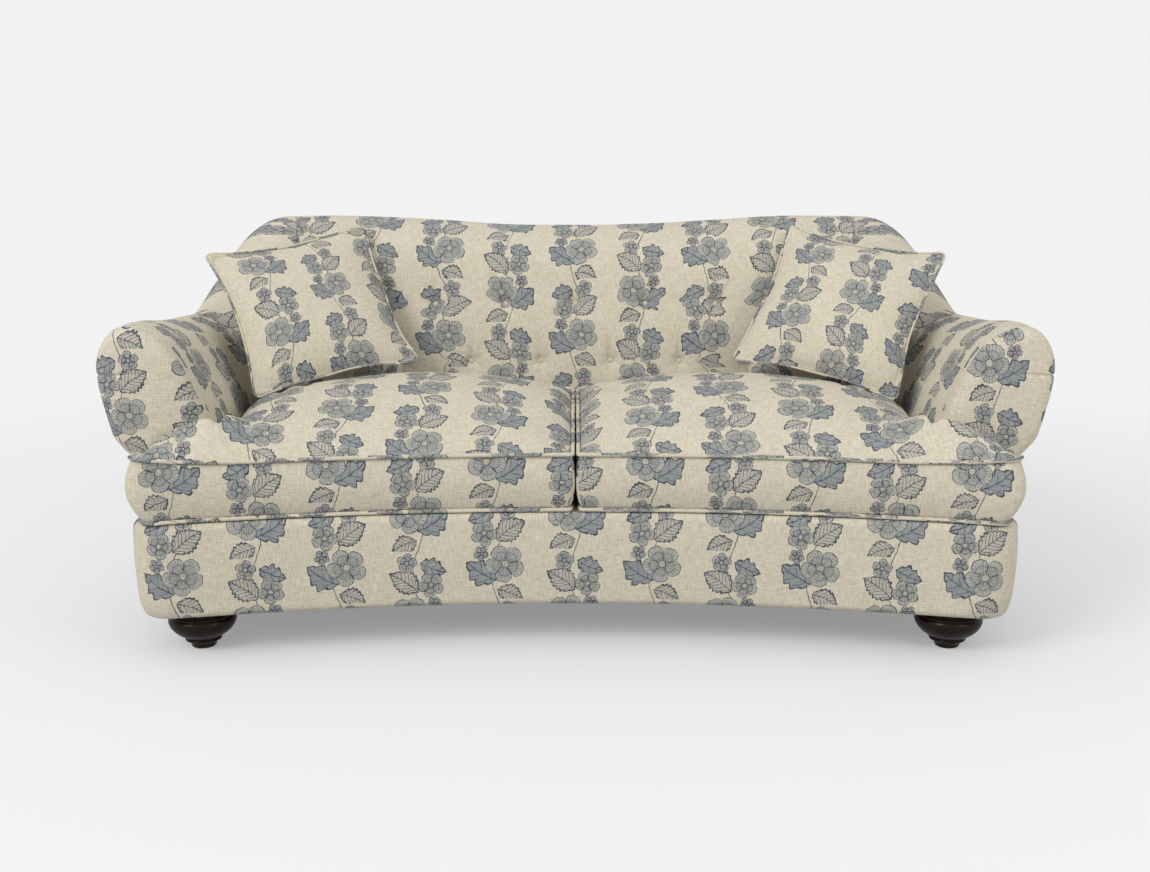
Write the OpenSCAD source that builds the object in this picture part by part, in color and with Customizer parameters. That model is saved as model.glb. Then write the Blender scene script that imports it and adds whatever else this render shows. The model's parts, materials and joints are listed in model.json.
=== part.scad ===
// Crescent three-seater sofa: a bowed hardwood frame with a sprung seat, rolled arms that
// sweep up into a buttoned back, two eared seat cushions, two scatter cushions and four
// turned feet. It faces -Y and stands on Z = 0; X = 0 and Y = 0 are the middle of its box.

/* [Overall] */
// Width over the two rolled arms
overall_w = 2070; // [1960:10:2300]
// Plan radius of the bowed front and of the bowed back
bow_r = 3641; // [3200:1:6000]
// Seat depth on the middle line, from the cushion's front to the foot of the back pad
seat_depth = 582; // [520:1:680]
// Plan radius of the line where the arm turns into the back
corner_r = 220; // [200:1:260]

/* [Heights] */
// Height of the feet, which is also the underside of the base
foot_h = 96; // [80:1:140]
// Top of the padded deck that carries the seat cushions
deck_top = 305; // [290:1:330]
// Top of the frame's lower rails
rail_top = 261; // [250:1:270]
// Top of the rolled arms
arm_top = 702; // [680:1:730]
// Top of the two humps of the back
back_top = 903; // [880:1:960]
// Fall of the back's top line from its humps to its middle
back_dip = 28; // [0:1:50]
// Distance along the back from the middle to the humps
hump_at = 640; // [450:1:680]

/* [Arm section] */
// Outer face of the base, outwards from the arm's line
base_out = 63; // [58:1:70]
// Outermost point of the arm's roll, outwards from the arm's line
arm_roll_out = 153; // [140:1:175]
// Ridge of the arm's roll, outwards from the arm's line
arm_ridge_out = 99; // [90:1:110]
// Inner face of the arm at the seat, inwards from the arm's line
arm_face_in = 110; // [100:1:125]
// How much lower the arm's roll is at the rear, before it rises to the back
arm_sag = 32; // [0:1:40]

/* [Back section] */
// Rearmost point of the back's roll, behind the back's line
back_roll_out = 200; // [180:1:230]
// Ridge of the back's roll, behind the back's line
back_ridge_out = 120; // [110:1:135]
// Foot of the back pad, in front of the back's line
back_face_in = 120; // [110:1:135]
// Lean of the back pad's face from the vertical, in degrees
back_lean = 9.5; // [6:0.5:12]

/* [Upholstery] */
// Thickness of the pads on the seat side of the arms and the back
pad_t = 55; // [45:1:60]
// Thickness of the stuffing on top of the rolls
roll_pad = 66; // [60:1:80]
// Thickness of the padded outer covers and the front border
skin_t = 18; // [12:1:20]
// Depth of the padded facing on the front of each arm
facing_t = 60; // [55:1:75]
// Radius of the facing's rounded edge
facing_r = 34; // [24:1:54]
// Set-back of the arm's front from the front of the seat at the arm's line
arm_setback = 138; // [125:1:170]
// Plan radius of the base's front corners
base_corner_r = 75; // [60:1:90]
// How much deeper the border's padding is at the front corners, where its lower edge rounds off
corner_pad = 14; // [0:1:18]
// Gap between a soft piece and what it lies against
soft_gap = 0.3; // [0.2:0.1:0.6]

/* [Buttons] */
// Distance between the buttons of a row
button_pitch = 182; // [160:1:186]
// Height of the lower row of buttons
button_row_low = 543; // [520:1:570]
// Height of the upper row of buttons
button_row_high = 690; // [670:1:720]
// Buttons in the upper row
buttons_high = 7; // [3:2:7]
// Depth of the tuft that a button pulls into the pad
tuft_depth = 16; // [8:1:22]
// Diameter of a covered button
button_d = 15; // [10:1:22]

/* [Seat cushions] */
// Height of a seat cushion's border between its two rows of piping
border_h = 121; // [100:1:140]
// Rise of the cushion's top from its piping to its crown
crown_h = 68; // [40:1:75]
// How far the crown pulls up the upper piping from the front to the rear
edge_lift = 45; // [0:1:50]
// How far the upper piping rises at the outer ends of the ears
ear_lift = 16; // [0:1:20]
// How far the ears stand out past the side of the base
ear_over = 0; // [0:1:8]
// Radius of the seat cushions' piping
piping_r = 5; // [4:0.5:6]
// Bulge of the cushion's border past its own edges
bulge = 9; // [6:1:10]
// Room behind each seat cushion for its zip
zip_room = 14; // [12:1:18]
// Thickness of the padded wrap between a cushion's cover and its foam core
wrap_t = 15; // [12:1:20]

/* [Zips] */
// Height of the zip tape
tape_h = 28; // [20:1:32]
// Thickness of the zip tape
tape_t = 1.6; // [1:0.1:2]
// Length of the zip
zip_l = 560; // [400:10:600]
// Length of the zip's slider
slider_l = 16; // [12:1:20]

/* [Scatter cushions] */
// Side of a filled scatter cushion, corner to corner
scatter_w = 415; // [380:1:440]
// Thickness of a scatter cushion at its middle
scatter_t = 136; // [100:1:140]
// How far the middles of its sides are drawn in
scatter_draw = 17; // [8:1:24]
// Radius of the scatter cushions' piping
scatter_piping_r = 3.5; // [2.5:0.5:4]
// Middle of a scatter cushion, inwards from the arm's line
scatter_in = 238.4; // [236:0.1:330]
// Middle of a scatter cushion, in front of the back's line
scatter_fore = 229.8; // [229:0.1:330]
// Middle of a scatter cushion, above the seat cushion's crown
scatter_up = 149.7; // [149:0.1:220]
// Turns of the left scatter cushion: roll in its own plane, lean and yaw, in degrees
scatter_turn = [-10.7, -38, 20.5];

/* [Frame] */
// Thickness of the rails and posts
rail_t = 30; // [25:1:34]
// Distance of the front corner blocks' inner ends from the middle
block_x = 735; // [700:1:760]
// Radial width of the rear corner blocks
rear_block_w = 120; // [110:1:130]
// Height of the rear corner blocks
rear_block_h = 60; // [50:1:90]
// Distance of the seat stretchers from the middle
stretcher_x = 220; // [200:1:240]
// Height of the seat stretchers
stretcher_h = 95; // [60:1:110]
// Distance of the back's middle posts from the middle, along the back
back_post_s = 250; // [180:1:330]
// Thickness of the dust cover's cloth
dust_t = 1.2; // [0.8:0.1:1.5]
// Diameter of the frame's dowels
dowel_d = 10; // [8:1:12]
// Length of the frame's dowels
dowel_l = 60; // [40:1:60]

/* [Springs] */
// Number of serpentine springs, side by side
springs = 6; // [4:1:7]
// Distance between the springs' middles
spring_pitch = 220; // [190:1:230]
// Diameter of the springs' wire
wire_d = 3.6; // [3:0.1:4]
// Distance between a spring's cross bars
bar_pitch = 52; // [46:1:60]
// Length of a spring's straight cross bars
bar_l = 46; // [30:1:60]
// Width of the back's webbing
web_w = 50; // [40:1:60]
// Thickness of the back's webbing
web_t = 2; // [1.5:0.1:2.5]

/* [Feet] */
// Largest diameter of a foot
foot_d = 158; // [130:1:165]
// Diameter of a foot's toe
toe_d = 72; // [50:1:90]
// Distance of the front feet from the middle
front_foot_x = 824; // [800:1:835]
// Distance of the front feet behind the front of the base at their own place
foot_setback = 104; // [95:1:115]
// Diameter of the hanger bolts
bolt_d = 8; // [6:1:10]
// Side of the square steel plates over the feet
plate_w = 60; // [50:1:66]

/* [Hidden] */
$fn = 48;

function lerp(a, b, t) = a + (b - a) * t;
function clamp(t) = max(0, min(1, t));
function smooth(t) = let (c = clamp(t)) c * c * (3 - 2 * c);

// A smooth curve through knots, at t counted in knots
function through(k, t) =
    let (n = len(k) - 1, i = min(floor(t), n - 1), f = t - i,
         a = k[max(i - 1, 0)], b = k[i], c = k[i + 1], d = k[min(i + 2, n)])
    0.5 * (2 * b + (c - a) * f + (2 * a - 5 * b + 4 * c - d) * f * f
           + (3 * b - a - 3 * c + d) * f * f * f);

// Sections of the arm and the back: [outwards from the line, height], from the outside
// foot over the roll to the seat
soft_foot = deck_top + soft_gap;
flare_z = arm_top - 300;
roll_z = arm_top - 205;
arm_skin = [
    [base_out, foot_h],
    [base_out + 8, flare_z],
    [arm_roll_out - 27, roll_z - 18],
    [arm_roll_out - 1, arm_top - 78],
    [arm_ridge_out, arm_top],
    [arm_ridge_out - 96, arm_top - 34],
    [52 - arm_face_in, arm_top - 142],
    [10 - arm_face_in, arm_top - 268],
    [-arm_face_in, soft_foot]
];
arm_hollow = [
    [base_out - skin_t, foot_h],
    [base_out + 8 - skin_t, flare_z],
    [arm_roll_out - 36 - skin_t, roll_z],
    [arm_roll_out - 40, arm_top - 40 - roll_pad],
    [arm_ridge_out - 28, arm_top - roll_pad],
    [arm_ridge_out - 66, arm_top - 14 - roll_pad],
    [pad_t - arm_face_in + 46, arm_top - 160],
    [pad_t - arm_face_in + 10, arm_top - 268],
    [pad_t - arm_face_in, soft_foot]
];
function back_face(z) = (z - deck_top) * tan(back_lean) - back_face_in;
back_skin = [
    [base_out, foot_h],
    [base_out + 15, deck_top + 15],
    [back_roll_out - 50, back_top - 283],
    [back_roll_out, back_top - 103],
    [back_ridge_out, back_top],
    [back_ridge_out - 120, back_top - 63],
    [back_face(button_row_high), button_row_high],
    [back_face(button_row_low) - 5, button_row_low],
    [-back_face_in, soft_foot]
];
back_hollow = [
    [base_out - skin_t, foot_h],
    [base_out + 15 - skin_t, deck_top + 15],
    [back_roll_out - 52 - skin_t, back_top - 283],
    [back_roll_out - 48, back_top - 133],
    [back_ridge_out - 10, back_top - roll_pad - 12],
    [back_ridge_out - 88, back_top - 47 - roll_pad],
    [back_face(button_row_high) + pad_t, button_row_high],
    [back_face(button_row_low) + pad_t, button_row_low],
    [pad_t - back_face_in, soft_foot]
];
knots = len(arm_skin) - 1;
skin_steps = [for (k = [0 : 0.5 : knots]) k];

// Plan: the lines of the arms and the back, and the bowed front
function bow(x, r = bow_r) = r - sqrt(r * r - x * x);
arm_x = overall_w / 2 - max([for (t = skin_steps) through(arm_skin, t)[0]]);
base_x = arm_x + base_out;
ear_x = base_x + ear_over;
back_reach = max([for (t = skin_steps) through(back_skin, t)[0]]);
front_v = (bow(ear_x - 40) - seat_depth - back_face_in - back_reach) / 2;
back_v = front_v + seat_depth + back_face_in;
turn_in = asin((arm_x - corner_r) / (bow_r - corner_r));
corner_c = [arm_x - corner_r, back_v - bow_r + (bow_r - corner_r) * cos(turn_in)];
back_half = bow_r * turn_in * PI / 180;
corner_turn = 90 - turn_in;
corner_l = corner_r * corner_turn * PI / 180;
arm_start = back_half + corner_l;
arm_front_y = front_v - bow(arm_x) + arm_setback;
facing_back_y = arm_front_y + facing_t;
arm_end = arm_start + corner_c[1] - facing_back_y;

// Direction that the section faces, in degrees from +Y towards +X, at s along the line
function facing_at(s) =
    let (a = abs(s))
    sign(s) * (a <= back_half ? a / bow_r * 180 / PI
               : a <= arm_start ? turn_in + (a - back_half) / corner_r * 180 / PI : 90);
function out_at(s) = [sin(facing_at(s)), cos(facing_at(s))];
function line_at(s) =
    let (a = abs(s), o = out_at(a), side = s < 0 ? -1 : 1,
         p = a <= back_half ? [0, back_v - bow_r] + bow_r * o
             : corner_c + corner_r * o - [0, max(0, a - arm_start)])
    [side * p[0], p[1]];
function place(s, q) =
    let (p = line_at(s), o = out_at(s)) [p[0] + q[0] * o[0], p[1] + q[0] * o[1], q[1]];
function plan(s, n) = let (p = place(s, [n, 0])) [p[0], p[1]];

// How much of the arm's section there is at s, the sag of the arm's roll towards the rear,
// and the dip of the back's top line
rise_share = 0.7;
rise_hold = 1.3;
function armness(s) =
    smooth(pow(clamp((abs(s) - back_half) / (rise_share * corner_l)), rise_hold));
function sag_at(s) = arm_sag * smooth((arm_end - abs(s)) / (arm_end - back_half - rise_share * corner_l));
function sagged(q, s) = [q[0], q[1] - sag_at(s) * clamp((q[1] - roll_z) / (arm_top - roll_z))];
function dip_at(s) = back_dip * (1 + cos(180 * clamp(abs(s) / hump_at))) / 2;
function dipped(q, s) =
    [q[0], q[1] - dip_at(s) * clamp((q[1] - button_row_high) / (back_top - button_row_high))];
function section(back, arm, s) =
    [for (k = [0 : knots]) lerp(dipped(back[k], s), sagged(arm[k], s), armness(s))];
function skin_at(s) = let (k = section(back_skin, arm_skin, s))
    [for (t = skin_steps) through(k, t)];
function hollow_at(s) = section(back_hollow, arm_hollow, s);

// Faces of a skin over n rings of m points each; the caps are added by the caller
function sides(n, m, from = 0) =
    [for (i = [0 : n - 2], j = [0 : m - 1])
        let (a = from + i * m + j, b = from + i * m + (j + 1) % m)
        each [[a, b + m, b], [a, a + m, b + m]]];
// Cap of a ring made of an outer chain (two steps a knot) and a hollow's chain
function band_cap(at) =
    let (m = 2 * knots + 1)
    [for (k = [0 : knots - 1])
        let (a = at + 2 * k, h = at + m + knots - k)
        each [[a, a + 1, h], [a + 1, h - 1, h], [a + 1, a + 2, h - 1]]];
function flipped(faces) = [for (f = faces) [f[2], f[1], f[0]]];

// A hollow padded sleeve over the frame, its skin pulled in by tuft() at s
module sleeve(stations, tufted = false) {
    m = len(skin_steps) + knots + 1;
    rings = [for (s = stations)
        let (skin = skin_at(s), hollow = hollow_at(s))
        concat(
            [for (j = [0 : len(skin) - 1])
                place(s, skin[j] + (tufted ? tuft(s, skin_steps[j]) : [0, 0]))],
            [for (k = [knots : -1 : 0]) place(s, hollow[k])])];
    last = (len(stations) - 1) * m;
    polyhedron(
        points = [for (r = rings) each r],
        faces = concat(sides(len(stations), m), band_cap(0), flipped(band_cap(last))));
}

// Tufts: pulled in where a station and a step of the section meet a button
function on_row(s, row) =
    let (shift = row == "high" ? 0 : 0.5, reach = (buttons_high - 1) / 2 - shift,
         c = abs(s) / button_pitch - shift)
    c < reach + 0.1 && abs(c - round(c)) < 0.01;
function tuft(s, t) =
    (t == 6 && on_row(s, "high")) || (t == 7 && on_row(s, "low"))
    ? tuft_depth * [cos(back_lean), -sin(back_lean)] : [0, 0];
quarter = button_pitch / 4;
stations_in = floor(back_half / quarter - 0.3);
back_stations = concat(
    [-back_half], [for (i = [-stations_in : stations_in]) i * quarter], [back_half]);
corner_steps = 7;
corner_stations = [for (i = [0 : corner_steps]) back_half + corner_l * i / corner_steps];
arm_stations = concat(
    corner_stations,
    [for (i = [1 : 3]) lerp(arm_start, arm_end, i / 3)]);

module back_pad() {
    color("tan") sleeve(back_stations, tufted = true);
}
module arm_right() {
    color("burlywood") sleeve(arm_stations);
}
module arm_left() {
    mirror([1, 0, 0]) arm_right();
}

// Covered buttons, each seated on the rim of its tuft
button_h = 0.4 * button_d;
tuft_rise = tuft_depth * (button_d / 2) / quarter;
module button_on(s, z) {
    face = z == button_row_high ? back_face(z) : back_face(z) - 5;
    translate(place(s, [face + tuft_depth * cos(back_lean), z - tuft_depth * sin(back_lean)]))
        rotate([0, 0, -facing_at(s)])
            rotate([90 - back_lean, 0, 0])
                translate([0, 0, tuft_rise + 2 * soft_gap])
                    intersection() {
                        cylinder(d = button_d, h = button_h);
                        translate([0, 0, button_h - button_d]) sphere(r = button_d);
                    }
}
module back_buttons() {
    half = (buttons_high - 1) / 2;
    color("linen") {
        for (i = [-half : half]) button_on(i * button_pitch, button_row_high);
        for (i = [-half : half - 1]) button_on((i + 0.5) * button_pitch, button_row_low);
    }
}

// Arm facing: the arm's section above the deck, rounded over towards the front
facing_chain = let (k = arm_skin)
    concat([through(k, (soft_foot - foot_h) / (flare_z - foot_h))],
           [for (t = [1 : 0.5 : knots]) through(k, t)]);
function inset_chain(c, d) =
    [for (i = [0 : len(c) - 1])
        let (end = i == 0 || i == len(c) - 1,
             e = c[min(i + 1, len(c) - 1)] - c[max(i - 1, 0)], u = e / norm(e))
        end ? c[i] + [i == 0 ? -d : d, 0] : c[i] + d * [-u[1], u[0]] * 1];
module arm_facing_right() {
    m = len(facing_chain);
    turns = [0, 22, 45, 68, 90];
    depths = concat([[facing_back_y - soft_gap, 0]],
        [for (a = turns) [arm_front_y + facing_r * (1 - sin(a)), facing_r * (1 - cos(a))]]);
    rings = [for (d = depths)
        [for (q = inset_chain(facing_chain, d[1])) [arm_x + q[0], d[0], q[1]]]];
    middle = [20, (arm_top + deck_top) / 2];
    n = len(depths);
    color("wheat")
        polyhedron(
            points = concat([for (r = rings) each r],
                [[arm_x + middle[0], facing_back_y - soft_gap, middle[1]],
                 [arm_x + middle[0], arm_front_y, middle[1]]]),
            faces = concat(sides(n, m),
                [for (j = [0 : m - 1]) [j, (j + 1) % m, n * m]],
                [for (j = [0 : m - 1])
                    [(n - 1) * m + (j + 1) % m, (n - 1) * m + j, n * m + 1]]));
}
module arm_facing_left() {
    mirror([1, 0, 0]) arm_facing_right();
}

// Outline of the base's front half at an inset t: side, rounded corner, bowed front
function corner_at(t) = let (x = base_x - base_corner_r)
    [x, front_v - bow_r + sqrt(pow(bow_r + base_corner_r, 2) - x * x)];
base_turn = asin((base_x - base_corner_r) / (bow_r + base_corner_r));
function front_at(x, t) = [x, front_v + t - bow(x)];
function base_corner(u, t) = let (a = u * (90 + base_turn))
    corner_at(t) + (base_corner_r - t) * [cos(a), -sin(a)];
function base_front(t, steps) =
    let (x = base_corner(1, t)[0])
    [for (i = [0 : steps]) front_at(lerp(x, -x, i / steps), t)];
corner_deep = corner_pad * [0.7, 1, 1, 0.8, 0.35, 0];
function base_outline(t, steps = 24, deep = 0) =
    concat([[base_x - t, facing_back_y]],
        [for (i = [0 : 5]) base_corner(i / 5, t + deep * corner_deep[i])],
        [for (p = base_front(t, steps)) if (abs(p[0]) < base_corner(1, t)[0] - 1) p],
        [for (i = [5 : -1 : 0])
            let (p = base_corner(i / 5, t + deep * corner_deep[i])) [-p[0], p[1]]],
        [[t - base_x, facing_back_y]]);

// Padded border round the front of the base
border_top = soft_foot - 1;
module front_border() {
    r = skin_t;
    loop = [[r, foot_h, 1], [0.35 * r, foot_h + 2, 0.35], [0.05 * r, foot_h + r, 0.05],
            [0, foot_h + 80, 0], [0.05 * r, border_top - r, 0], [0.35 * r, border_top - 2, 0],
            [r, border_top, 1]];
    m = len(loop);
    outlines = [for (q = loop) base_outline(q[0], deep = q[2])];
    n = len(outlines[0]);
    function pad_at(i) = let (k = min(i, n - 1 - i)) k > 0 && k < 6 ? corner_deep[k - 1] : 0;
    function lift_at(i, j) = j == 1 ? pad_at(i) / 7 : j == 2 ? pad_at(i) : 0;
    color("peru")
        polyhedron(
            points = [for (i = [0 : n - 1], j = [0 : m - 1])
                [outlines[j][i][0], outlines[j][i][1], loop[j][1] + lift_at(i, j)]],
            faces = concat(sides(n, m),
                [for (j = [1 : m - 2]) [0, j, j + 1]],
                [for (j = [1 : m - 2]) (n - 1) * m * [1, 1, 1] + [0, j + 1, j]]));
}

// Lower frame
frame_z = foot_h + dust_t;
rail_h = rail_top - frame_z;
ring_out = base_out - skin_t - soft_gap;
ring_in = ring_out - rail_t;
front_out = skin_t + soft_gap;
front_in = front_out + rail_t;
function strip(stations, n0, n1) =
    concat([for (s = stations) plan(s, n1)],
           [for (i = [len(stations) - 1 : -1 : 0]) plan(stations[i], n0)]);
module band(stations, n0, n1, z0, z1) {
    translate([0, 0, z0]) linear_extrude(z1 - z0) polygon(strip(stations, n0, n1));
}
back_fine = [for (i = [-16 : 16]) back_half * i / 16];

// Dowels across the frame's four kinds of joint; bores are the same, a little wider
module dowels_at(x, y, turn, d) {
    for (z = [frame_z + 0.25 * rail_h, frame_z + 0.75 * rail_h])
        translate([x, y, z]) rotate([0, 0, turn]) rotate([0, 90, 0])
            cylinder(d = d, h = dowel_l, center = true);
}
ring_mid = (ring_in + ring_out) / 2;
module rail_dowels(joint, d) {
    if (joint == "front")
        dowels_at(block_x, front_at(block_x, front_out + rail_t / 2)[1],
                  -asin(block_x / bow_r), d);
    if (joint == "side") dowels_at(arm_x + ring_mid, facing_back_y, 90, d);
    if (joint == "corner") dowels_at(arm_x + ring_mid, corner_c[1], 90, d);
    if (joint == "back") {
        p = plan(back_half, ring_mid);
        dowels_at(p[0], p[1], -turn_in, d);
    }
}
module both_sides() {
    children();
    mirror([1, 0, 0]) children();
}
bore_d = dowel_d + 0.2;

module front_rail() {
    xs = [for (i = [-16 : 16]) block_x * i / 16];
    color("sienna")
        difference() {
            translate([0, 0, frame_z]) linear_extrude(rail_h)
                polygon(concat([for (x = xs) front_at(x, front_out)],
                               [for (i = [32 : -1 : 0]) front_at(xs[i], front_in)]));
            both_sides() rail_dowels("front", bore_d);
        }
}
module back_rail() {
    color("sienna")
        difference() {
            band(back_fine, ring_in, ring_out, frame_z, rail_top);
            both_sides() rail_dowels("back", bore_d);
        }
}
module side_rail_right() {
    color("saddlebrown")
        difference() {
            translate([arm_x + ring_in, facing_back_y, frame_z])
                cube([rail_t, corner_c[1] - facing_back_y, rail_h]);
            rail_dowels("side", bore_d);
            rail_dowels("corner", bore_d);
        }
}
module side_rail_left() {
    mirror([1, 0, 0]) side_rail_right();
}
module corner_rail_right() {
    color("chocolate")
        difference() {
            band(corner_stations, ring_in, ring_out, frame_z, rail_top);
            rail_dowels("corner", bore_d);
            rail_dowels("back", bore_d);
        }
}
module corner_rail_left() {
    mirror([1, 0, 0]) corner_rail_right();
}
module frame_dowels() {
    color("wheat")
        both_sides()
            for (joint = ["front", "side", "corner", "back"]) rail_dowels(joint, dowel_d);
}

// Feet, their bolts and plates, and the corner blocks over them
front_foot = [front_foot_x, front_v - bow(front_foot_x) + foot_setback];
rear_foot_turn = turn_in + 0.45 * corner_turn;
rear_foot = corner_c
    + (corner_r + ring_in - rear_block_w / 2) * [sin(rear_foot_turn), cos(rear_foot_turn)];
bolt_r = bolt_d / 2;
bolt_low = 0.45 * foot_h;
bolt_high = frame_z + 0.65 * rear_block_h;
plate_t = 3;
module at_feet(which = "all") {
    if (which != "rear") translate(front_foot) children();
    if (which != "front") translate(rear_foot) children();
}
module foot_pockets(which) {
    at_feet(which) {
        translate([-plate_w / 2 - 0.2, -plate_w / 2 - 0.2, frame_z - 1])
            cube([plate_w + 0.4, plate_w + 0.4, plate_t + 1.2]);
        translate([0, 0, frame_z - 1]) cylinder(r = bolt_r + 0.2, h = bolt_high - frame_z + 2);
    }
}
module front_corner_block() {
    x0 = block_x;
    curve = concat(
        [for (i = [0 : 5]) base_corner(i / 5, front_out + corner_deep[i])],
        [for (p = base_front(front_out, 24)) if (p[0] > x0 + 1
            && p[0] < base_corner(1, front_out)[0] - 1) p]);
    difference() {
        translate([0, 0, frame_z]) linear_extrude(rail_h)
            polygon(concat([[base_x - front_out, facing_back_y]], curve,
                [front_at(x0, front_out), [x0, facing_back_y]]));
        rail_dowels("front", bore_d);
        rail_dowels("side", bore_d);
        foot_pockets("front");
    }
}
module front_corner_blocks() {
    color("rosybrown") both_sides() front_corner_block();
}
module rear_corner_blocks() {
    inner = [for (i = [1 : corner_steps - 1]) corner_stations[i]];
    color("rosybrown")
        both_sides()
            difference() {
                band(inner, ring_in - rear_block_w, ring_in, frame_z, frame_z + rear_block_h);
                foot_pockets("rear");
            }
}
module foot_bolts() {
    color("silver")
        both_sides()
            at_feet() translate([0, 0, bolt_low])
                cylinder(r = bolt_r, h = bolt_high - bolt_low);
}
module foot_plates() {
    color("gray")
        both_sides()
            at_feet()
                difference() {
                    translate([-plate_w / 2, -plate_w / 2, frame_z])
                        cube([plate_w, plate_w, plate_t]);
                    translate([0, 0, frame_z - 1])
                        cylinder(r = bolt_r + 0.1, h = plate_t + 2);
                }
}

// Turned bun foot: three rings under its top, a bulb, a bead and a rounded toe
module foot() {
    r = foot_d / 2;
    toe = toe_d / 2;
    ring = function(z) [[r, z + 1], [r - 1.4, z + 0.4], [r - 1.4, z - 0.4], [r, z - 1]];
    bulb_top = foot_h - 22;
    bulb_low = 19;
    bead = 14;
    profile = concat(
        [[0, foot_h], [r - 1.5, foot_h], [r, foot_h - 1.5]],
        ring(foot_h - 6), ring(foot_h - 11), ring(foot_h - 16),
        [for (a = [0 : 10 : 80])
            [lerp(toe + 6, r, cos(a)), bulb_top - (bulb_top - bulb_low) * sin(a)]],
        [[toe + 6, bulb_low], [toe + 3, bulb_low - 1.5], [toe + 5, bead + 1.5],
         [toe + 4, bead - 1], [toe, bead - 2]],
        [for (a = [0 : 15 : 75]) [toe - 10 * (1 - cos(a)), (bead - 4) * (1 - sin(a))]],
        [[toe - 11, 0], [0, 0]]);
    difference() {
        rotate_extrude($fn = 96) polygon(profile);
        translate([0, 0, bolt_low - 1]) cylinder(r = bolt_r + 0.1, h = foot_h);
    }
}
module foot_front_right() {
    color("maroon") translate(front_foot) foot();
}
module foot_front_left() {
    mirror([1, 0, 0]) foot_front_right();
}
module foot_rear_right() {
    color("maroon") translate(rear_foot) foot();
}
module foot_rear_left() {
    mirror([1, 0, 0]) foot_rear_right();
}
module dust_cover() {
    inset = front_out;
    outline = concat(base_outline(inset, deep = 1),
        [for (i = [corner_steps : -1 : 0]) plan(-corner_stations[i], base_out - inset)],
        [for (i = [1 : 31]) plan(lerp(-back_half, back_half, i / 32), base_out - inset)],
        [for (s = corner_stations) plan(s, base_out - inset)]);
    color("dimgray")
        difference() {
            translate([0, 0, foot_h]) linear_extrude(dust_t) polygon(outline);
            both_sides()
                at_feet() translate([0, 0, foot_h - 1]) cylinder(r = bolt_r + 1, h = dust_t + 2);
        }
}

// Seat stretchers, springs and clips between the front and back rails
rail_gap = 0.2;
function front_face_y(x) = front_at(x, front_in)[1] + rail_gap;
function back_face_y(x) =
    back_v - bow_r + sqrt(pow(bow_r + ring_in, 2) - x * x) - rail_gap;
module seat_stretchers() {
    h = rail_t / 2;
    color("peru")
        for (side = [-1, 1]) {
            x = side * stretcher_x;
            translate([0, 0, frame_z]) linear_extrude(stretcher_h)
                polygon([[x - h, front_face_y(x - h)], [x + h, front_face_y(x + h)],
                         [x + h, back_face_y(x + h)], [x - h, back_face_y(x - h)]]);
        }
}
clip = [26, 10, 9];
spring_z = rail_top - clip[2] / 2;
spring_reach = (bar_l + bar_pitch) / 2;
function spring_x(i) = (i - (springs - 1) / 2) * spring_pitch;
function spring_front(i) = let (x = abs(spring_x(i)) - spring_reach)
    front_face_y(max(0, x)) + clip[1] / 2;
function spring_back(i) = let (x = abs(spring_x(i)) + spring_reach)
    back_face_y(x) - clip[1] / 2;
function spring_line(i) =
    let (y0 = spring_front(i), y1 = spring_back(i),
         gaps = 2 * floor((y1 - y0) / bar_pitch / 2) + 1, step = (y1 - y0) / gaps)
    concat([[-bar_l / 2, y0]],
        [for (k = [0 : gaps - 1], a = [0 : 45 : 180])
            (k % 2 == 0 ? [1, 1] : [-1, 1])
                * [[bar_l / 2 + step / 2 * sin(a), 0], [0, y0 + (k + 0.5 - cos(a) / 2) * step]]],
        [[(gaps % 2 == 0 ? 1 : -1) * bar_l / 2, y1]]);
module spring(i) {
    cord([for (p = spring_line(i)) [spring_x(i) + p[0], p[1], spring_z]], wire_d / 2,
         closed = false);
}
module seat_springs() {
    color("silver") for (i = [0 : springs - 1]) spring(i);
}
module spring_clip(i, y, faces) {
    x = spring_x(i);
    h = clip[0] / 2;
    difference() {
        translate([0, 0, rail_top - clip[2]]) linear_extrude(clip[2])
            polygon([[x - h, y], [x + h, y], [x + h, faces[1]], [x - h, faces[0]]]);
        translate([x - clip[0], (faces[0] < y ? -1 : 1) * clip[1] / 2 + y, spring_z])
            rotate([0, 90, 0])
                cylinder(r = wire_d / 2 + rail_gap, h = 2 * clip[0]);
    }
}
module spring_clips() {
    h = clip[0] / 2;
    color("gray")
        for (i = [0 : springs - 1]) {
            x = spring_x(i);
            spring_clip(i, spring_front(i) + clip[1] / 2,
                        [front_face_y(x - h), front_face_y(x + h)]);
            spring_clip(i, spring_back(i) - clip[1] / 2,
                        [back_face_y(x - h), back_face_y(x + h)]);
        }
}

// Padded deck: T-shaped in plan, tucked under the pads of the arms and the back
deck_tuck = pad_t - 5;
module seat_deck() {
    n_arm = deck_tuck - arm_face_in;
    n_back = deck_tuck - back_face_in;
    function deck_n(s) = lerp(n_back, n_arm, armness(s));
    rear = concat([for (i = [corner_steps : -1 : 1]) corner_stations[i]],
                  [for (i = [16 : -1 : -16]) back_half * i / 16],
                  [for (i = [1 : corner_steps]) -corner_stations[i]]);
    y = facing_back_y - soft_gap;
    outline = [for (p = base_outline(front_out, deep = 1)) if (p[1] < y - 5) p];
    x = base_x - front_out;
    color("ivory")
        translate([0, 0, rail_top + soft_gap]) linear_extrude(deck_top - rail_top - soft_gap)
            polygon(concat(
                [[x, y]], outline, [[-x, y], [-arm_x - n_arm, y]],
                [for (i = [len(rear) - 1 : -1 : 0]) plan(rear[i], deck_n(rear[i]))],
                [[arm_x + n_arm, y]]));
}

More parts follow.
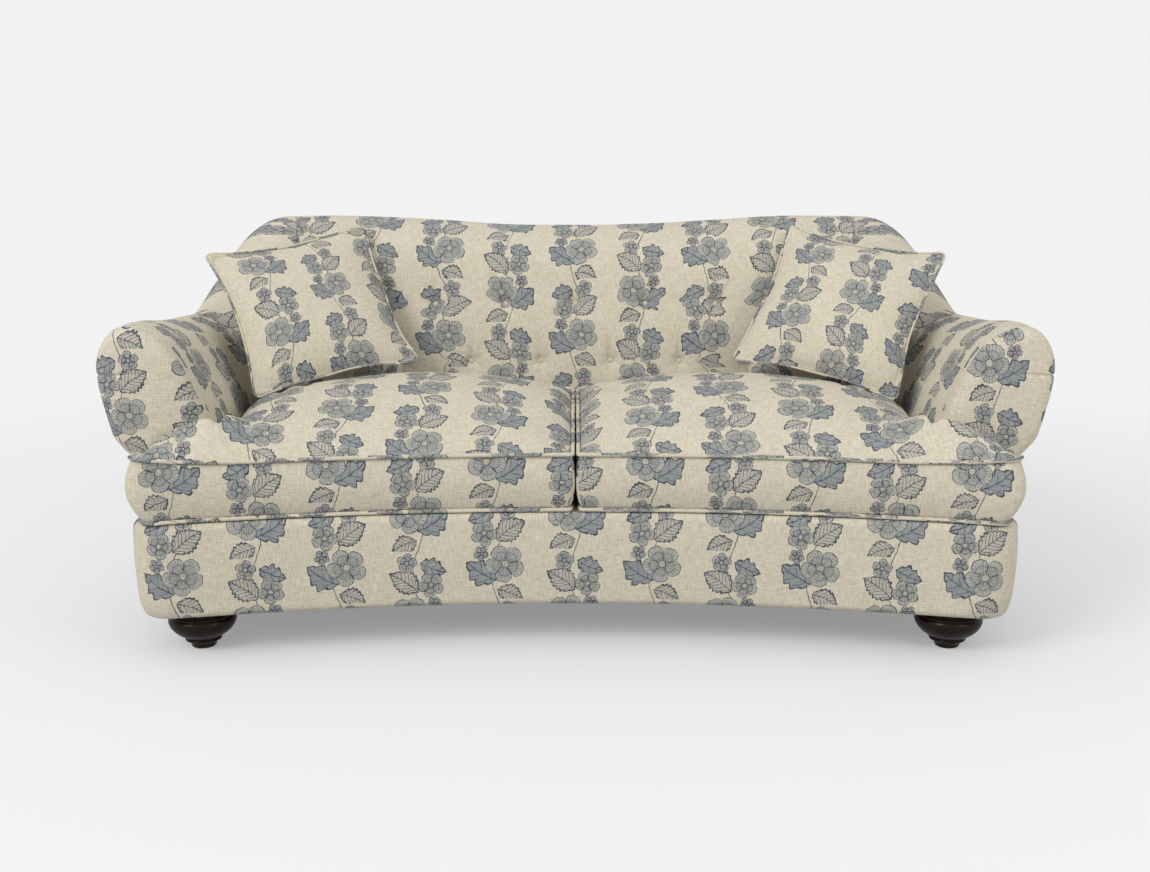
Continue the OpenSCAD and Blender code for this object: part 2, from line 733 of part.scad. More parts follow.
// Posts: boards across the line, filling the hollow of the sleeve
function post_shape(s, z0) =
    let (h = hollow_at(s), c = [(h[3][0] + h[6][0]) / 2, (h[3][1] + h[8][1]) / 2],
         tight = [for (q = h) q + 0.8 * (c - q) / norm(c - q)])
    [for (k = [0 : knots])
        k == 0 ? [ring_out, z0]
        : k == knots ? [tight[k][0] + (h[7][0] - h[8][0]) * 0.2, z0]
        : tight[k]];
module post(s, z0 = rail_top) {
    p = line_at(s);
    translate([p[0], p[1], 0]) rotate([0, 0, 90 - facing_at(s)])
        rotate([90, 0, 0]) translate([0, 0, -rail_t / 2]) linear_extrude(rail_t)
            polygon(post_shape(s, z0));
}
arm_rail_w = 66;
arm_rail_drop = 152;
arm_rail = [arm_ridge_out - 59, arm_top - arm_rail_drop, arm_rail_w, rail_t];
tack_z = deck_top + 15;
tack_h = 60;
tack_t = 26;
function hollow_n(hollow, z) =
    lerp(hollow[8][0], hollow[7][0], (z - hollow[8][1]) / (hollow[7][1] - hollow[8][1]));
web_room = web_t + 1;
arm_tack_n = hollow_n(arm_hollow, tack_z + tack_h) + web_room;
back_tack_n = hollow_n(back_hollow, tack_z + tack_h) + web_room;
top_rail_h = 62;
top_rail_drop = 203;
top_rail_in = 93;
top_rail_z = back_top - top_rail_drop;
top_rail_n = back_ridge_out - top_rail_in;

module arm_post_right() {
    color("saddlebrown") post(arm_end - rail_t / 2);
}
module arm_post_left() {
    mirror([1, 0, 0]) arm_post_right();
}
module arm_rear_posts() {
    color("saddlebrown") both_sides() post(arm_start + rail_t / 2);
}
arm_rail_y0 = facing_back_y + rail_t;
arm_rail_y1 = corner_c[1] - rail_t;
module arm_top_rail_right() {
    color("sienna")
        translate([arm_x + arm_rail[0], arm_rail_y0, arm_rail[1]])
            cube([arm_rail[2], arm_rail_y1 - arm_rail_y0, arm_rail[3]]);
}
module arm_top_rail_left() {
    mirror([1, 0, 0]) arm_top_rail_right();
}
module arm_tack_rails() {
    color("sienna")
        both_sides()
            translate([arm_x + arm_tack_n, arm_rail_y0, tack_z])
                cube([tack_t, arm_rail_y1 - arm_rail_y0, tack_h]);
}

// Curved rail that rises round the corner from the arm's rear post to the back's end post
module sweep_rail_right() {
    s0 = back_half;
    s1 = arm_start;
    n = 9;
    rings = [for (i = [0 : n - 1])
        let (s = lerp(s0, s1, i / (n - 1)), w = armness(s),
             at = lerp([top_rail_n, top_rail_z + top_rail_h - 40], [arm_rail[0], arm_rail[1]], w),
             size = lerp([rail_t, 40], [arm_rail[2], arm_rail[3]], w))
        [place(s, at), place(s, at + [size[0], 0]), place(s, at + size),
         place(s, at + [0, size[1]])]];
    color("chocolate")
        polyhedron(points = [for (r = rings) each r],
            faces = concat(sides(n, 4), [[0, 1, 2], [0, 2, 3]],
                [for (f = [[0, 2, 1], [0, 3, 2]]) f + (n - 1) * 4 * [1, 1, 1]]));
}
module sweep_rail_left() {
    mirror([1, 0, 0]) sweep_rail_right();
}
rail_half = back_half - rail_t - 1;
rail_stations = [for (i = [-16 : 16]) rail_half * i / 16];
module back_tack_rail() {
    color("sienna") band(rail_stations, back_tack_n, back_tack_n + tack_t, tack_z, tack_z + tack_h);
}
module back_top_rail() {
    color("sienna") band(rail_stations, top_rail_n, top_rail_n + rail_t, top_rail_z,
                         top_rail_z + top_rail_h);
}
module back_end_posts() {
    color("saddlebrown") both_sides() post(back_half - rail_t / 2);
}
module back_middle_posts() {
    color("saddlebrown")
        difference() {
            both_sides() post(back_post_s);
            band([for (i = [-8 : 8]) back_half * i / 8], -back_face_in,
                 back_roll_out, top_rail_z, back_top);
            band(rail_stations, -back_face_in, back_tack_n + tack_t + rail_gap,
                 tack_z - rail_gap, tack_z + tack_h + rail_gap);
        }
}

// Webbing up the front of the back frame, from the tack rail to the top rail
web_s = [for (s = [-0.86, -0.6, -0.18, 0, 0.18, 0.6, 0.86]) s * (back_half - rail_t - web_w)];
module back_webbing() {
    low = back_tack_n - web_t - rail_gap;
    high = top_rail_n - web_t - rail_gap;
    line = [[low, tack_z + 5], [low, tack_z + tack_h],
            [back_hollow[7][0] + 1.5, button_row_low], [back_hollow[6][0] + 2, button_row_high],
            [high, top_rail_z + 20], [high, top_rail_z + 45]];
    shape = concat(line, [for (i = [len(line) - 1 : -1 : 0]) line[i] + [web_t, 0]]);
    color("darkkhaki")
        for (s = web_s) {
            p = line_at(s);
            translate([p[0], p[1], 0]) rotate([0, 0, 90 - facing_at(s)])
                rotate([90, 0, 0]) translate([0, 0, -web_w / 2]) linear_extrude(web_w)
                    polygon(shape);
        }
}

// Seat cushion: an eared plan of columns and rows, all of it inside the limits at inset 0
cushion_mid = 0.5;
body_x = arm_x - arm_face_in - 4;
ear_back_y = arm_front_y - 5;
cushion_front_v = front_v - 3;
cushion_back_v = back_v - back_face_in - zip_room;
edge_t = 2 * piping_r + 0.6;
edge_low = deck_top + 7;
edge_high = edge_low + border_h;
n_body = 9;
n_ear = 12;
m_ear = 4;
m_all = 12;
function column_x(i, t) =
    let (x0 = cushion_mid + t, x1 = body_x - t, x2 = ear_x - t)
    i == 0 ? x0 : i == 1 ? x0 + 14
    : i < n_body - 1 ? lerp(x0 + 14, x1 - 45, (i - 1) / (n_body - 2))
    : i == n_body - 1 ? x1 - 45 : i == n_body ? x1
    : i == n_ear - 1 ? x2 - 25 : i == n_ear ? x2
    : lerp(x1, x2 - 25, (i - n_body) / (n_ear - 1 - n_body));
function ear_v(x, t) = ear_back_y - t + bow(x);
function row_v(i, j, t) =
    let (x = max(column_x(i, t), body_x - t), v0 = cushion_front_v + t, v1 = ear_v(x, t),
         v2 = cushion_back_v - t, c = min(28, (v1 - v0) / 3))
    j == 0 ? v0 : j == 1 ? v0 + c
    : j < m_ear ? lerp(v0 + c, v1 - 18, (j - 1) / (m_ear - 2))
    : j == m_ear ? v1
    : j < m_all - 1 ? lerp(v1, v2 - 60, (j - m_ear) / (m_all - 1 - m_ear))
    : j == m_all - 1 ? v2 - 60 : v2;
function grid_raw(i, j, t) = let (x = column_x(i, t)) [x, row_v(i, j, t) - bow(x)];
function rounded(p, a, b, w = 0.29) = p + w * (a - p) + w * (b - p);
function grid_at(i, j, t) =
    let (p = grid_raw(i, j, t))
    i == 0 && j == 0 ? rounded(p, grid_raw(1, 0, t), grid_raw(0, 1, t))
    : i == n_ear && j == 0 ? rounded(p, grid_raw(i - 1, 0, t), grid_raw(i, 1, t))
    : i == n_ear && j == m_ear ? rounded(p, grid_raw(i - 1, j, t), grid_raw(i, j - 1, t))
    : i == n_body && j == m_all ? rounded(p, grid_raw(i - 1, j, t), grid_raw(i, j - 1, t), 0.36)
    : i == 0 && j == m_all ? rounded(p, grid_raw(1, j, t), grid_raw(0, j - 1, t))
    : p;
function in_plan(i, j) = i <= n_body || j <= m_ear;
rim = concat(
    [for (i = [0 : n_ear]) [i, 0]], [for (j = [1 : m_ear]) [n_ear, j]],
    [for (i = [n_ear - 1 : -1 : n_body]) [i, m_ear]],
    [for (j = [m_ear + 1 : m_all]) [n_body, j]],
    [for (i = [n_body - 1 : -1 : 0]) [i, m_all]],
    [for (j = [m_all - 1 : -1 : 1]) [0, j]]);
function rise(d, reach) = let (c = 1 - clamp(d / reach)) 1 - c * c;
// A side of the crown: steep beside the piping, then a slow swell to the middle
crown_half = (body_x - cushion_mid) / 2 - edge_t;
function flank(d) = 0.36 * rise(d, 60) + 0.64 * rise(d, crown_half);
// Crown over the plan: 0 at every edge and about 1 in the middle
function crown(i, j) =
    let (t = edge_t, x = column_x(i, t), v = row_v(i, j, t),
         v1 = ear_v(max(x, body_x - t), t), dx = max(0, body_x - t - x),
         front = rise(v - cushion_front_v - t, lerp(130, 300, clamp(dx / 250))))
    i >= n_body && j <= m_ear
    ? 0.8 * front * rise(v1 - v, 30) * rise(ear_x - t - x, 45)
    : front * rise(cushion_back_v - t - v, 110)
      * min(flank(x - cushion_mid - t), flank(v >= v1 ? dx : norm([dx, v1 - v])));
// Height of the upper piping's seam at a point of the plan
function edge_z(p) = let (v = p[1] + bow(p[0]))
    edge_high + edge_lift * smooth((v - cushion_front_v - 20) / 400)
    + ear_lift * smooth((p[0] - ear_x) / 200 + 1) * (1 - smooth((v - ear_v(ear_x, 0)) / 60));

module cushion_body() {
    cells = [for (j = [0 : m_all], i = [0 : n_ear]) if (in_plan(i, j)) [i, j]];
    index = [for (j = [0 : m_all])
        [for (i = [0 : n_ear])
            j <= m_ear ? j * (n_ear + 1) + i
            : (m_ear + 1) * (n_ear + 1) + (j - m_ear - 1) * (n_body + 1) + i]];
    count = len(cells);
    top = [for (c = cells) let (p = grid_at(c[0], c[1], edge_t))
        [p[0], p[1], edge_z(p) + crown_h * crown(c[0], c[1])]];
    low = [for (c = cells) let (p = grid_at(c[0], c[1], edge_t))
        [p[0], p[1], lerp(edge_low, deck_top + soft_gap, clamp(3 * crown(c[0], c[1])))]];
    belly = [for (c = rim) let (p = grid_at(c[0], c[1], edge_t - bulge))
        [p[0], p[1], (edge_low + edge_z(p)) / 2]];
    quads = [for (j = [0 : m_all - 1], i = [0 : n_ear - 1]) if (in_plan(i + 1, j + 1))
        [index[j][i], index[j][i + 1], index[j + 1][i + 1], index[j + 1][i]]];
    m = len(rim);
    edge = [for (c = rim) index[c[1]][c[0]]];
    polyhedron(
        points = concat(top, low, belly),
        faces = concat(
            [for (q = quads) each [[q[0], q[2], q[1]], [q[0], q[3], q[2]]]],
            [for (q = quads) each count * [[1, 1, 1], [1, 1, 1]]
                + [[q[0], q[1], q[2]], [q[0], q[2], q[3]]]],
            [for (k = [0 : m - 1])
                let (k2 = (k + 1) % m, a = edge[k], b = edge[k2], c = 2 * count + k,
                     d = 2 * count + k2)
                each [[a, b, d], [a, d, c], [c, d, count + b], [c, count + b, count + a]]]));
}
core_t = edge_t + wrap_t;
core_low = edge_low + wrap_t;
core_high = edge_high - wrap_t;
// The foam core is an eared block with a smaller layer on top that carries the crown
layer_in = 105;
layer_h = 42;
module core_block(grow) {
    translate([0, 0, core_low - grow]) linear_extrude(core_high - core_low + 2 * grow)
        polygon([for (c = rim) grid_at(c[0], c[1], core_t - grow)]);
    t = core_t + layer_in - grow;
    xs = [for (i = [0 : 8]) lerp(cushion_mid + t, body_x - t, i / 8)];
    translate([0, 0, core_low]) linear_extrude(core_high - core_low + layer_h + grow)
        polygon(concat([for (x = xs) [x, cushion_front_v + t - bow(x)]],
            [for (i = [8 : -1 : 0]) [xs[i], cushion_back_v - t - bow(xs[i])]]));
}
module seat_cover_right() {
    color("antiquewhite")
        difference() {
            cushion_body();
            core_block(soft_gap);
        }
}
module seat_cover_left() {
    mirror([1, 0, 0]) seat_cover_right();
}
module seat_core_right() {
    color("khaki") core_block(0);
}
module seat_core_left() {
    mirror([1, 0, 0]) seat_core_right();
}

// A round cord of six sides through points that lie nearly level, closed or with two ends
module cord(points, r, closed = true) {
    n = len(points);
    m = 6;
    rings = [for (i = [0 : n - 1])
        let (b = points[i],
             a = closed || i > 0 ? points[(i + n - 1) % n] : 2 * b - points[1],
             c = closed || i < n - 1 ? points[(i + 1) % n] : 2 * b - points[n - 2],
             u = (b - a) / norm(b - a), v = (c - b) / norm(c - b),
             t = (u + v) / norm(u + v), out = [t[1], -t[0], 0] / norm([t[0], t[1]]),
             up = cross(out, t), mitre = 1 / max(0.7, u * t))
        [for (k = [0 : m - 1])
            b + r * (cos(360 * k / m) * mitre * out + sin(360 * k / m) * up)]];
    last = (n - 1) * m;
    polyhedron(
        points = [for (q = rings) each q],
        faces = concat(
            [for (i = [0 : (closed ? n : n - 1) - 1], j = [0 : m - 1])
                let (a = i * m + j, b = i * m + (j + 1) % m,
                     c = ((i + 1) % n) * m + j, d = ((i + 1) % n) * m + (j + 1) % m)
                each [[a, d, c], [a, b, d]]],
            closed ? [] : [for (j = [1 : m - 2]) [0, j + 1, j]],
            closed ? [] : [for (j = [1 : m - 2]) [last, last + j, last + j + 1]]));
}
piping_t = edge_t - piping_r - soft_gap;
piping_lift = 1.8;
module seat_piping_right() {
    line = [for (c = rim) grid_at(c[0], c[1], piping_t)];
    color("bisque") {
        cord([for (p = line) [p[0], p[1], edge_z(p) + piping_lift]], piping_r);
        cord([for (p = line) [p[0], p[1], edge_low - piping_lift]], piping_r);
    }
}
module seat_piping_left() {
    mirror([1, 0, 0]) seat_piping_right();
}

// Zip along the rear border: tape and slider turn about the middle of the rear bow
zip_centre = [0, cushion_back_v - bow_r];
tape_r = bow_r - edge_t + bulge + soft_gap;
zip_z = (edge_low + edge_high + edge_lift) / 2;
zip_x = (cushion_mid + body_x) / 2;
zip_from = asin((zip_x - zip_l / 2) / bow_r);
zip_to = asin((zip_x + zip_l / 2) / bow_r);
module ring_piece(r, t, h, a0, a1) {
    fine = [for (i = [0 : 20]) lerp(a0, a1, i / 20)];
    translate([zip_centre[0], zip_centre[1], zip_z - h / 2]) linear_extrude(h)
        polygon(concat([for (a = fine) r * [sin(a), cos(a)]],
            [for (i = [20 : -1 : 0]) (r + t) * [sin(fine[i]), cos(fine[i])]]));
}
module zip_tape_right() {
    color("beige") ring_piece(tape_r, tape_t, tape_h, zip_from, zip_to);
}
module zip_tape_left() {
    mirror([1, 0, 0]) zip_tape_right();
}
slider_r = tape_r + tape_t + soft_gap;
slider_turn = slider_l / bow_r * 180 / PI;
zip_travel = zip_to - zip_from - slider_turn;
module zip_slider_right() {
    color("goldenrod") {
        ring_piece(slider_r, 4, 9, zip_from, zip_from + slider_turn);
        translate(zip_centre)
            rotate([0, 0, -zip_from - slider_turn / 2])
                translate([-2.5, slider_r + 1, zip_z - 26]) cube([5, 1.5, 23]);
    }
}
module zip_slider_left() {
    mirror([1, 0, 0]) zip_slider_right();
}

// Scatter cushion: a square pillow with drawn-in sides, thin at its four ears
pillow_n = 12;
function spread(k) = let (u = 2 * k / pillow_n - 1) sin(90 * u) * 0.72 + u * 0.28;
function pillow_xy(u, v, half, draw) =
    [u * (half - draw * (1 - v * v)), v * (half - draw * (1 - u * u))];
function puff(u) = pow(max(0, 1 - pow(abs(u), 2.6)), 0.55);
module pillow(half, draw, thick) {
    n = pillow_n;
    grid = [for (j = [0 : n], i = [0 : n]) [spread(i), spread(j)]];
    front = [for (g = grid) let (p = pillow_xy(g[0], g[1], half, draw))
        [p[0], -thick / 2 * puff(g[0]) * puff(g[1]), p[1]]];
    inner = [for (j = [1 : n - 1], i = [1 : n - 1]) j * (n + 1) + i];
    back = [for (k = inner) [front[k][0], -front[k][1], front[k][2]]];
    all = (n + 1) * (n + 1);
    function rear(i, j) = i == 0 || j == 0 || i == n || j == n
        ? j * (n + 1) + i : all + (j - 1) * (n - 1) + i - 1;
    polyhedron(
        points = concat(front, back),
        faces = concat(
            [for (j = [0 : n - 1], i = [0 : n - 1])
                let (a = j * (n + 1) + i, b = a + 1, c = a + n + 2, d = a + n + 1)
                each (i < n / 2) == (j < n / 2) ? [[a, d, c], [a, c, b]]
                    : [[a, d, b], [b, d, c]]],
            [for (j = [0 : n - 1], i = [0 : n - 1])
                let (a = rear(i, j), b = rear(i + 1, j), c = rear(i + 1, j + 1),
                     d = rear(i, j + 1))
                each (i < n / 2) == (j < n / 2) ? [[a, c, d], [a, b, c]]
                    : [[a, b, d], [b, c, d]]]));
}
scatter_at = [scatter_in - arm_x, back_v - scatter_fore, edge_high + edge_lift + crown_h + scatter_up];
module scatter_place() {
    translate(scatter_at)
        rotate([0, 0, scatter_turn[2]])
            rotate([scatter_turn[1], 0, 0])
                rotate([0, scatter_turn[0], 0])
                    children();
}
fill_in = 24;
module scatter_cover_left() {
    color("wheat")
        scatter_place()
            difference() {
                pillow(scatter_w / 2, scatter_draw, scatter_t);
                pillow(scatter_w / 2 - fill_in, scatter_draw, scatter_t - 12);
            }
}
module scatter_cover_right() {
    mirror([1, 0, 0]) scatter_cover_left();
}
module scatter_filling_left() {
    color("white")
        scatter_place() pillow(scatter_w / 2 - fill_in - 0.5, scatter_draw, scatter_t - 13);
}
module scatter_filling_right() {
    mirror([1, 0, 0]) scatter_filling_left();
}
module scatter_piping_left() {
    half = scatter_w / 2 + scatter_piping_r + 2.5 * soft_gap;
    n = pillow_n;
    path = concat([for (i = [0 : n - 1]) [spread(i), -1]], [for (j = [0 : n - 1]) [1, spread(j)]],
        [for (i = [n : -1 : 1]) [spread(i), 1]], [for (j = [n : -1 : 1]) [-1, spread(j)]]);
    color("ivory")
        scatter_place() rotate([90, 0, 0])
            cord([for (g = path) let (p = pillow_xy(g[0], g[1], half, scatter_draw))
                [p[0], p[1], 0]], scatter_piping_r);
}
module scatter_piping_right() {
    mirror([1, 0, 0]) scatter_piping_left();
}

front_rail();
back_rail();
side_rail_left();
side_rail_right();
corner_rail_left();
corner_rail_right();
front_corner_blocks();
rear_corner_blocks();
seat_stretchers();
frame_dowels();
arm_post_left();
arm_post_right();
arm_rear_posts();
arm_top_rail_left();
arm_top_rail_right();
arm_tack_rails();
sweep_rail_left();
sweep_rail_right();
back_end_posts();
back_middle_posts();
back_top_rail();
back_tack_rail();
seat_springs();
spring_clips();
back_webbing();
seat_deck();
dust_cover();
front_border();
arm_left();
arm_right();
arm_facing_left();
arm_facing_right();
back_pad();
back_buttons();
foot_front_left();
foot_front_right();
foot_rear_left();
foot_rear_right();
foot_bolts();
foot_plates();
seat_cover_left();
seat_cover_right();
seat_core_left();
seat_core_right();
seat_piping_left();
seat_piping_right();
zip_tape_left();
zip_tape_right();
zip_slider_left();
zip_slider_right();
scatter_cover_left();
scatter_cover_right();
scatter_filling_left();
scatter_filling_right();
scatter_piping_left();
scatter_piping_right();
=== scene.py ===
# %% [markdown]
# # A crescent three-seater sofa
# The sofa is bowed in plan. Its rolled arms sweep up into a lightly buttoned back, and it carries two
# eared seat cushions, two scatter cushions and four turned feet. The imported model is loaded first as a
# fixed frame: it says where each piece is and how it moves. This script gives each piece its looks.

# %% Load the frame
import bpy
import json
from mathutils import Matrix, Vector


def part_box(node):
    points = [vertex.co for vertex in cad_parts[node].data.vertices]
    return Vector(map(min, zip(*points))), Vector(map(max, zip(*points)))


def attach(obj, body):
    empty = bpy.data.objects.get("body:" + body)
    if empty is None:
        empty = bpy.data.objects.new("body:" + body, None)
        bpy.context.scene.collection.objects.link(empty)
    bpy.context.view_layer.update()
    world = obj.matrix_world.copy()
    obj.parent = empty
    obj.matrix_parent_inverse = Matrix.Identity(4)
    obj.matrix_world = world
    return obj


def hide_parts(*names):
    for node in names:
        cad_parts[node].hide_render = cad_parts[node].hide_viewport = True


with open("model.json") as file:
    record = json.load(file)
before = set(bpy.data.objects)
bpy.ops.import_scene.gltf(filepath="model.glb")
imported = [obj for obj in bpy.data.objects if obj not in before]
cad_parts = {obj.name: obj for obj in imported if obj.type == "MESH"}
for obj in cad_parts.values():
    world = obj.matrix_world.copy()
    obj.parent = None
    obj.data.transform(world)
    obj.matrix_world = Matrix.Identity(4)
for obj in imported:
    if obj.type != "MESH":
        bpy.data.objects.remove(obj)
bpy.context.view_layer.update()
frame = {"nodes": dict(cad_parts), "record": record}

import json
import math
import bmesh
import bpy
import numpy as np
from mathutils import Matrix, Vector, kdtree, noise

# %% [markdown]
# ## The sofa's sizes
# An upholsterer cuts every cover from a few lines: the bowed front, the line that the back follows, and
# the arms. The same sizes as in the imported model are written here once, in millimetres, and every
# cover is worked out from them, so that cloth and frame can't drift apart.

# %% Sizes in millimetres
overall_w, bow_r, seat_depth, corner_r = 2070.0, 3641.0, 582.0, 220.0
foot_h, deck_top, arm_top, back_top, back_dip, hump_at = 96.0, 305.0, 702.0, 903.0, 28.0, 640.0
base_out, arm_roll_out, arm_ridge_out, arm_face_in, arm_sag = 63.0, 153.0, 99.0, 110.0, 32.0
back_roll_out, back_ridge_out, back_face_in, back_lean = 200.0, 120.0, 120.0, 9.5
skin_t, facing_t, facing_r, arm_setback, base_corner_r = 18.0, 60.0, 34.0, 138.0, 75.0
button_pitch, button_row_low, button_row_high, tuft_depth, button_d = 182.0, 543.0, 690.0, 16.0, 15.0
border_h, crown_h, edge_lift, ear_lift = 121.0, 68.0, 45.0, 16.0
piping_r, bulge, zip_room, foot_d = 5.0, 9.0, 14.0, 158.0
scatter_w, scatter_t, scatter_draw, scatter_piping_r = 415.0, 136.0, 17.0, 3.5
soft_foot = deck_top + 0.3
mm, cover_wall, half_column = 0.001, 0.012, 0.0855  # in metres, as are all cloth coordinates
sides = {-1: "left", 1: "right"}


def lerp(a, b, t):
    return a + (b - a) * t


def smooth(t):
    c = np.clip(t, 0, 1)
    return c * c * (3 - 2 * c)


def through(knots, t):
    """A smooth curve through knots, at t counted in knots."""
    knots, t = np.asarray(knots, float), np.atleast_1d(np.asarray(t, float))
    n = len(knots) - 1
    i = np.minimum(np.floor(t).astype(int), n - 1)
    f = (t - i)[:, None]
    a, b, c, d = knots[np.maximum(i - 1, 0)], knots[i], knots[i + 1], knots[np.minimum(i + 2, n)]
    bend, twist = 2 * a - 5 * b + 4 * c - d, 3 * b - a - 3 * c + d
    return 0.5 * (2 * b + (c - a) * f + bend * f ** 2 + twist * f ** 3)


def bow(x):
    """How far the bowed lines have come forward at x."""
    return bow_r - np.sqrt(bow_r ** 2 - np.square(x))


def bell(d, width):
    return np.exp(-(d / width) ** 2)


def unit(vectors):
    return vectors / np.linalg.norm(vectors, axis=-1)[..., None]


def normals(line, *at):
    """Unit normals of a plane line, to the right of its way."""
    d = np.gradient(line, *at, axis=0)
    return unit(np.stack([d[:, 1], -d[:, 0]], -1))


# %% [markdown]
# ## Sections and lines
# An arm and the back are the same kind of shape: a section that is carried along a line. The section
# runs from the outside foot up over the roll and down to the seat, and between back and arm it turns
# smoothly from one to the other. The line bows behind the sitter, turns at each corner and runs forward.

# %% Sections of arm and back
arm_skin = [(base_out, foot_h), (base_out + 8, arm_top - 300), (arm_roll_out - 27, arm_top - 223),
            (arm_roll_out - 1, arm_top - 78), (arm_ridge_out, arm_top), (arm_ridge_out - 96, arm_top - 34),
            (52 - arm_face_in, arm_top - 142), (10 - arm_face_in, arm_top - 268), (-arm_face_in, soft_foot)]


def back_face(z):
    return (z - deck_top) * math.tan(math.radians(back_lean)) - back_face_in


back_skin = [(base_out, foot_h), (base_out + 15, deck_top + 15), (back_roll_out - 50, back_top - 283),
             (back_roll_out, back_top - 103), (back_ridge_out, back_top), (back_ridge_out - 120, back_top - 63),
             (back_face(button_row_high), button_row_high), (back_face(button_row_low) - 5, button_row_low),
             (-back_face_in, soft_foot)]
steps = np.arange(0, 8.01, 0.5)
arm_x = overall_w / 2 - through(arm_skin, steps)[:, 0].max()
base_x = arm_x + base_out
ear_x = base_x
front_v = (bow(ear_x - 40) - seat_depth - back_face_in - through(back_skin, steps)[:, 0].max()) / 2
back_v = front_v + seat_depth + back_face_in
turn_in = math.asin((arm_x - corner_r) / (bow_r - corner_r))
corner_c = np.array([arm_x - corner_r, back_v - bow_r + (bow_r - corner_r) * math.cos(turn_in)])
back_half = bow_r * turn_in
corner_l = corner_r * (math.pi / 2 - turn_in)
arm_start = back_half + corner_l
arm_front_y = front_v - bow(arm_x) + arm_setback
facing_back_y = arm_front_y + facing_t
arm_end = arm_start + corner_c[1] - facing_back_y
print("front", round(front_v, 1), "back line", round(back_v, 1), "arm line", round(arm_x, 1))


def direction(s):
    """Angle that the section faces at s, from +Y towards +X."""
    a = abs(s)
    turn = a / bow_r if a <= back_half else min(turn_in + (a - back_half) / corner_r, math.pi / 2)
    return math.copysign(turn, s) if s else 0.0


def place(s, n, z):
    """Points n outwards from the line at s, at heights z."""
    a, side = abs(s), -1 if s < 0 else 1
    turn = direction(a)
    out = np.array([math.sin(turn), math.cos(turn)])
    if a <= back_half:
        p = np.array([0, back_v - bow_r]) + bow_r * out
    else:
        p = corner_c + corner_r * out - [0, max(0, a - arm_start)]
    n, z = np.asarray(n, float), np.asarray(z, float)
    return np.stack([side * (p[0] + n * out[0]), p[1] + n * out[1], z], -1)


def armness(s):
    """How much of the arm's section there is at s, from 0 on the back to 1."""
    share = np.clip((abs(s) - back_half) / (0.7 * corner_l), 0, 1)
    return float(smooth(share ** 1.3))


def section(s, t):
    """The skin's section at s: outwards and height, at steps t."""
    a = abs(s)
    dip = back_dip * (1 + math.cos(math.pi * min(1, a / hump_at))) / 2
    sag = arm_sag * float(smooth((arm_end - a) / (arm_end - back_half - 0.7 * corner_l)))
    back_knots, arm_knots = np.array(back_skin, float), np.array(arm_skin, float)
    back_knots[:, 1] -= dip * np.clip((back_knots[:, 1] - button_row_high) / (back_top - button_row_high), 0, 1)
    arm_knots[:, 1] -= sag * np.clip((arm_knots[:, 1] - arm_top + 205) / 205, 0, 1)
    return through(lerp(back_knots, arm_knots, armness(s)), t)


# %% [markdown]
# ## Making a mesh from panels
# A cover is sewn from panels, and each panel is cut from flat cloth. So each panel here is a grid of
# points with its own cloth coordinates in metres, kept in a UV map. The panels are joined edge to edge
# afterwards, which keeps a seam in the print where the real cover has one.

# %% Panels and pieces
def linked(name, data):
    """A new object in the scene."""
    obj = bpy.data.objects.new(name, data)
    bpy.context.scene.collection.objects.link(obj)
    return obj


def welded(mesh, gap, *steps):
    """Joins the points of a mesh that lie closer than the gap in metres, then takes the other steps."""
    bm = bmesh.new()
    bm.from_mesh(mesh)
    bmesh.ops.remove_doubles(bm, verts=bm.verts, dist=gap)
    for step in steps:
        step(bm)
    bm.to_mesh(mesh)
    bm.free()
    return mesh


def points_of(obj):
    return np.array([v.co for v in obj.data.vertices])


def set_points(obj, points):
    obj.data.vertices.foreach_set("co", np.asarray(points, np.float32).ravel())
    obj.data.update()


def loop_points(mesh):
    """For each face corner the number of its point."""
    corner = np.empty(len(mesh.loops), int)
    mesh.loops.foreach_get("vertex_index", corner)
    return corner


def mesh_piece(name, panels, merge=0.05):
    """One object from panels (points in mm, cloth coordinates in m, flip)."""
    points, faces, cloth = [], [], []
    for grid, uv, flip in panels:
        grid, uv = np.asarray(grid, float), np.asarray(uv, float)
        rows, cols = grid.shape[:2]
        index = len(points) + np.arange(rows * cols).reshape(rows, cols)
        points.extend(grid.reshape(-1, 3) * mm)
        cloth.extend(uv.reshape(-1, 2))
        quads = np.stack([index[:-1, :-1], index[1:, :-1], index[1:, 1:], index[:-1, 1:]], -1).reshape(-1, 4)
        faces.extend((quads[:, ::-1] if flip else quads).tolist())
    mesh = bpy.data.meshes.new(name)
    mesh.from_pydata([tuple(p) for p in points], [], faces)
    layer = mesh.uv_layers.new(name="Cloth")
    layer.data.foreach_set("uv", np.array(cloth)[loop_points(mesh)].astype(np.float32).ravel())
    welded(mesh, merge * mm, lambda bm: bmesh.ops.dissolve_degenerate(bm, edges=bm.edges, dist=1e-6),
           lambda bm: bmesh.ops.recalc_face_normals(bm, faces=bm.faces))
    mesh.shade_smooth()
    return linked(name, mesh)


def assign(thing, **settings):
    for name, value in settings.items():
        setattr(thing, name, value)
    return thing


def modify(obj, kind, **settings):
    """Adds a modifier with these settings."""
    return assign(obj.modifiers.new(kind, kind), **settings)


def bake_modifiers(obj):
    """Turns the evaluated shape into the piece's own plain mesh."""
    depsgraph = bpy.context.evaluated_depsgraph_get()
    mesh = bpy.data.meshes.new_from_object(obj.evaluated_get(depsgraph), depsgraph=depsgraph)
    obj.modifiers.clear()
    obj.data = mesh
    mesh.shade_smooth()
    return obj


def thicken(obj, thickness=cover_wall):
    """Gives an open cover its wall, inwards."""
    modify(obj, "SOLIDIFY", thickness=thickness, offset=-1, use_even_offset=False)
    return bake_modifiers(obj)


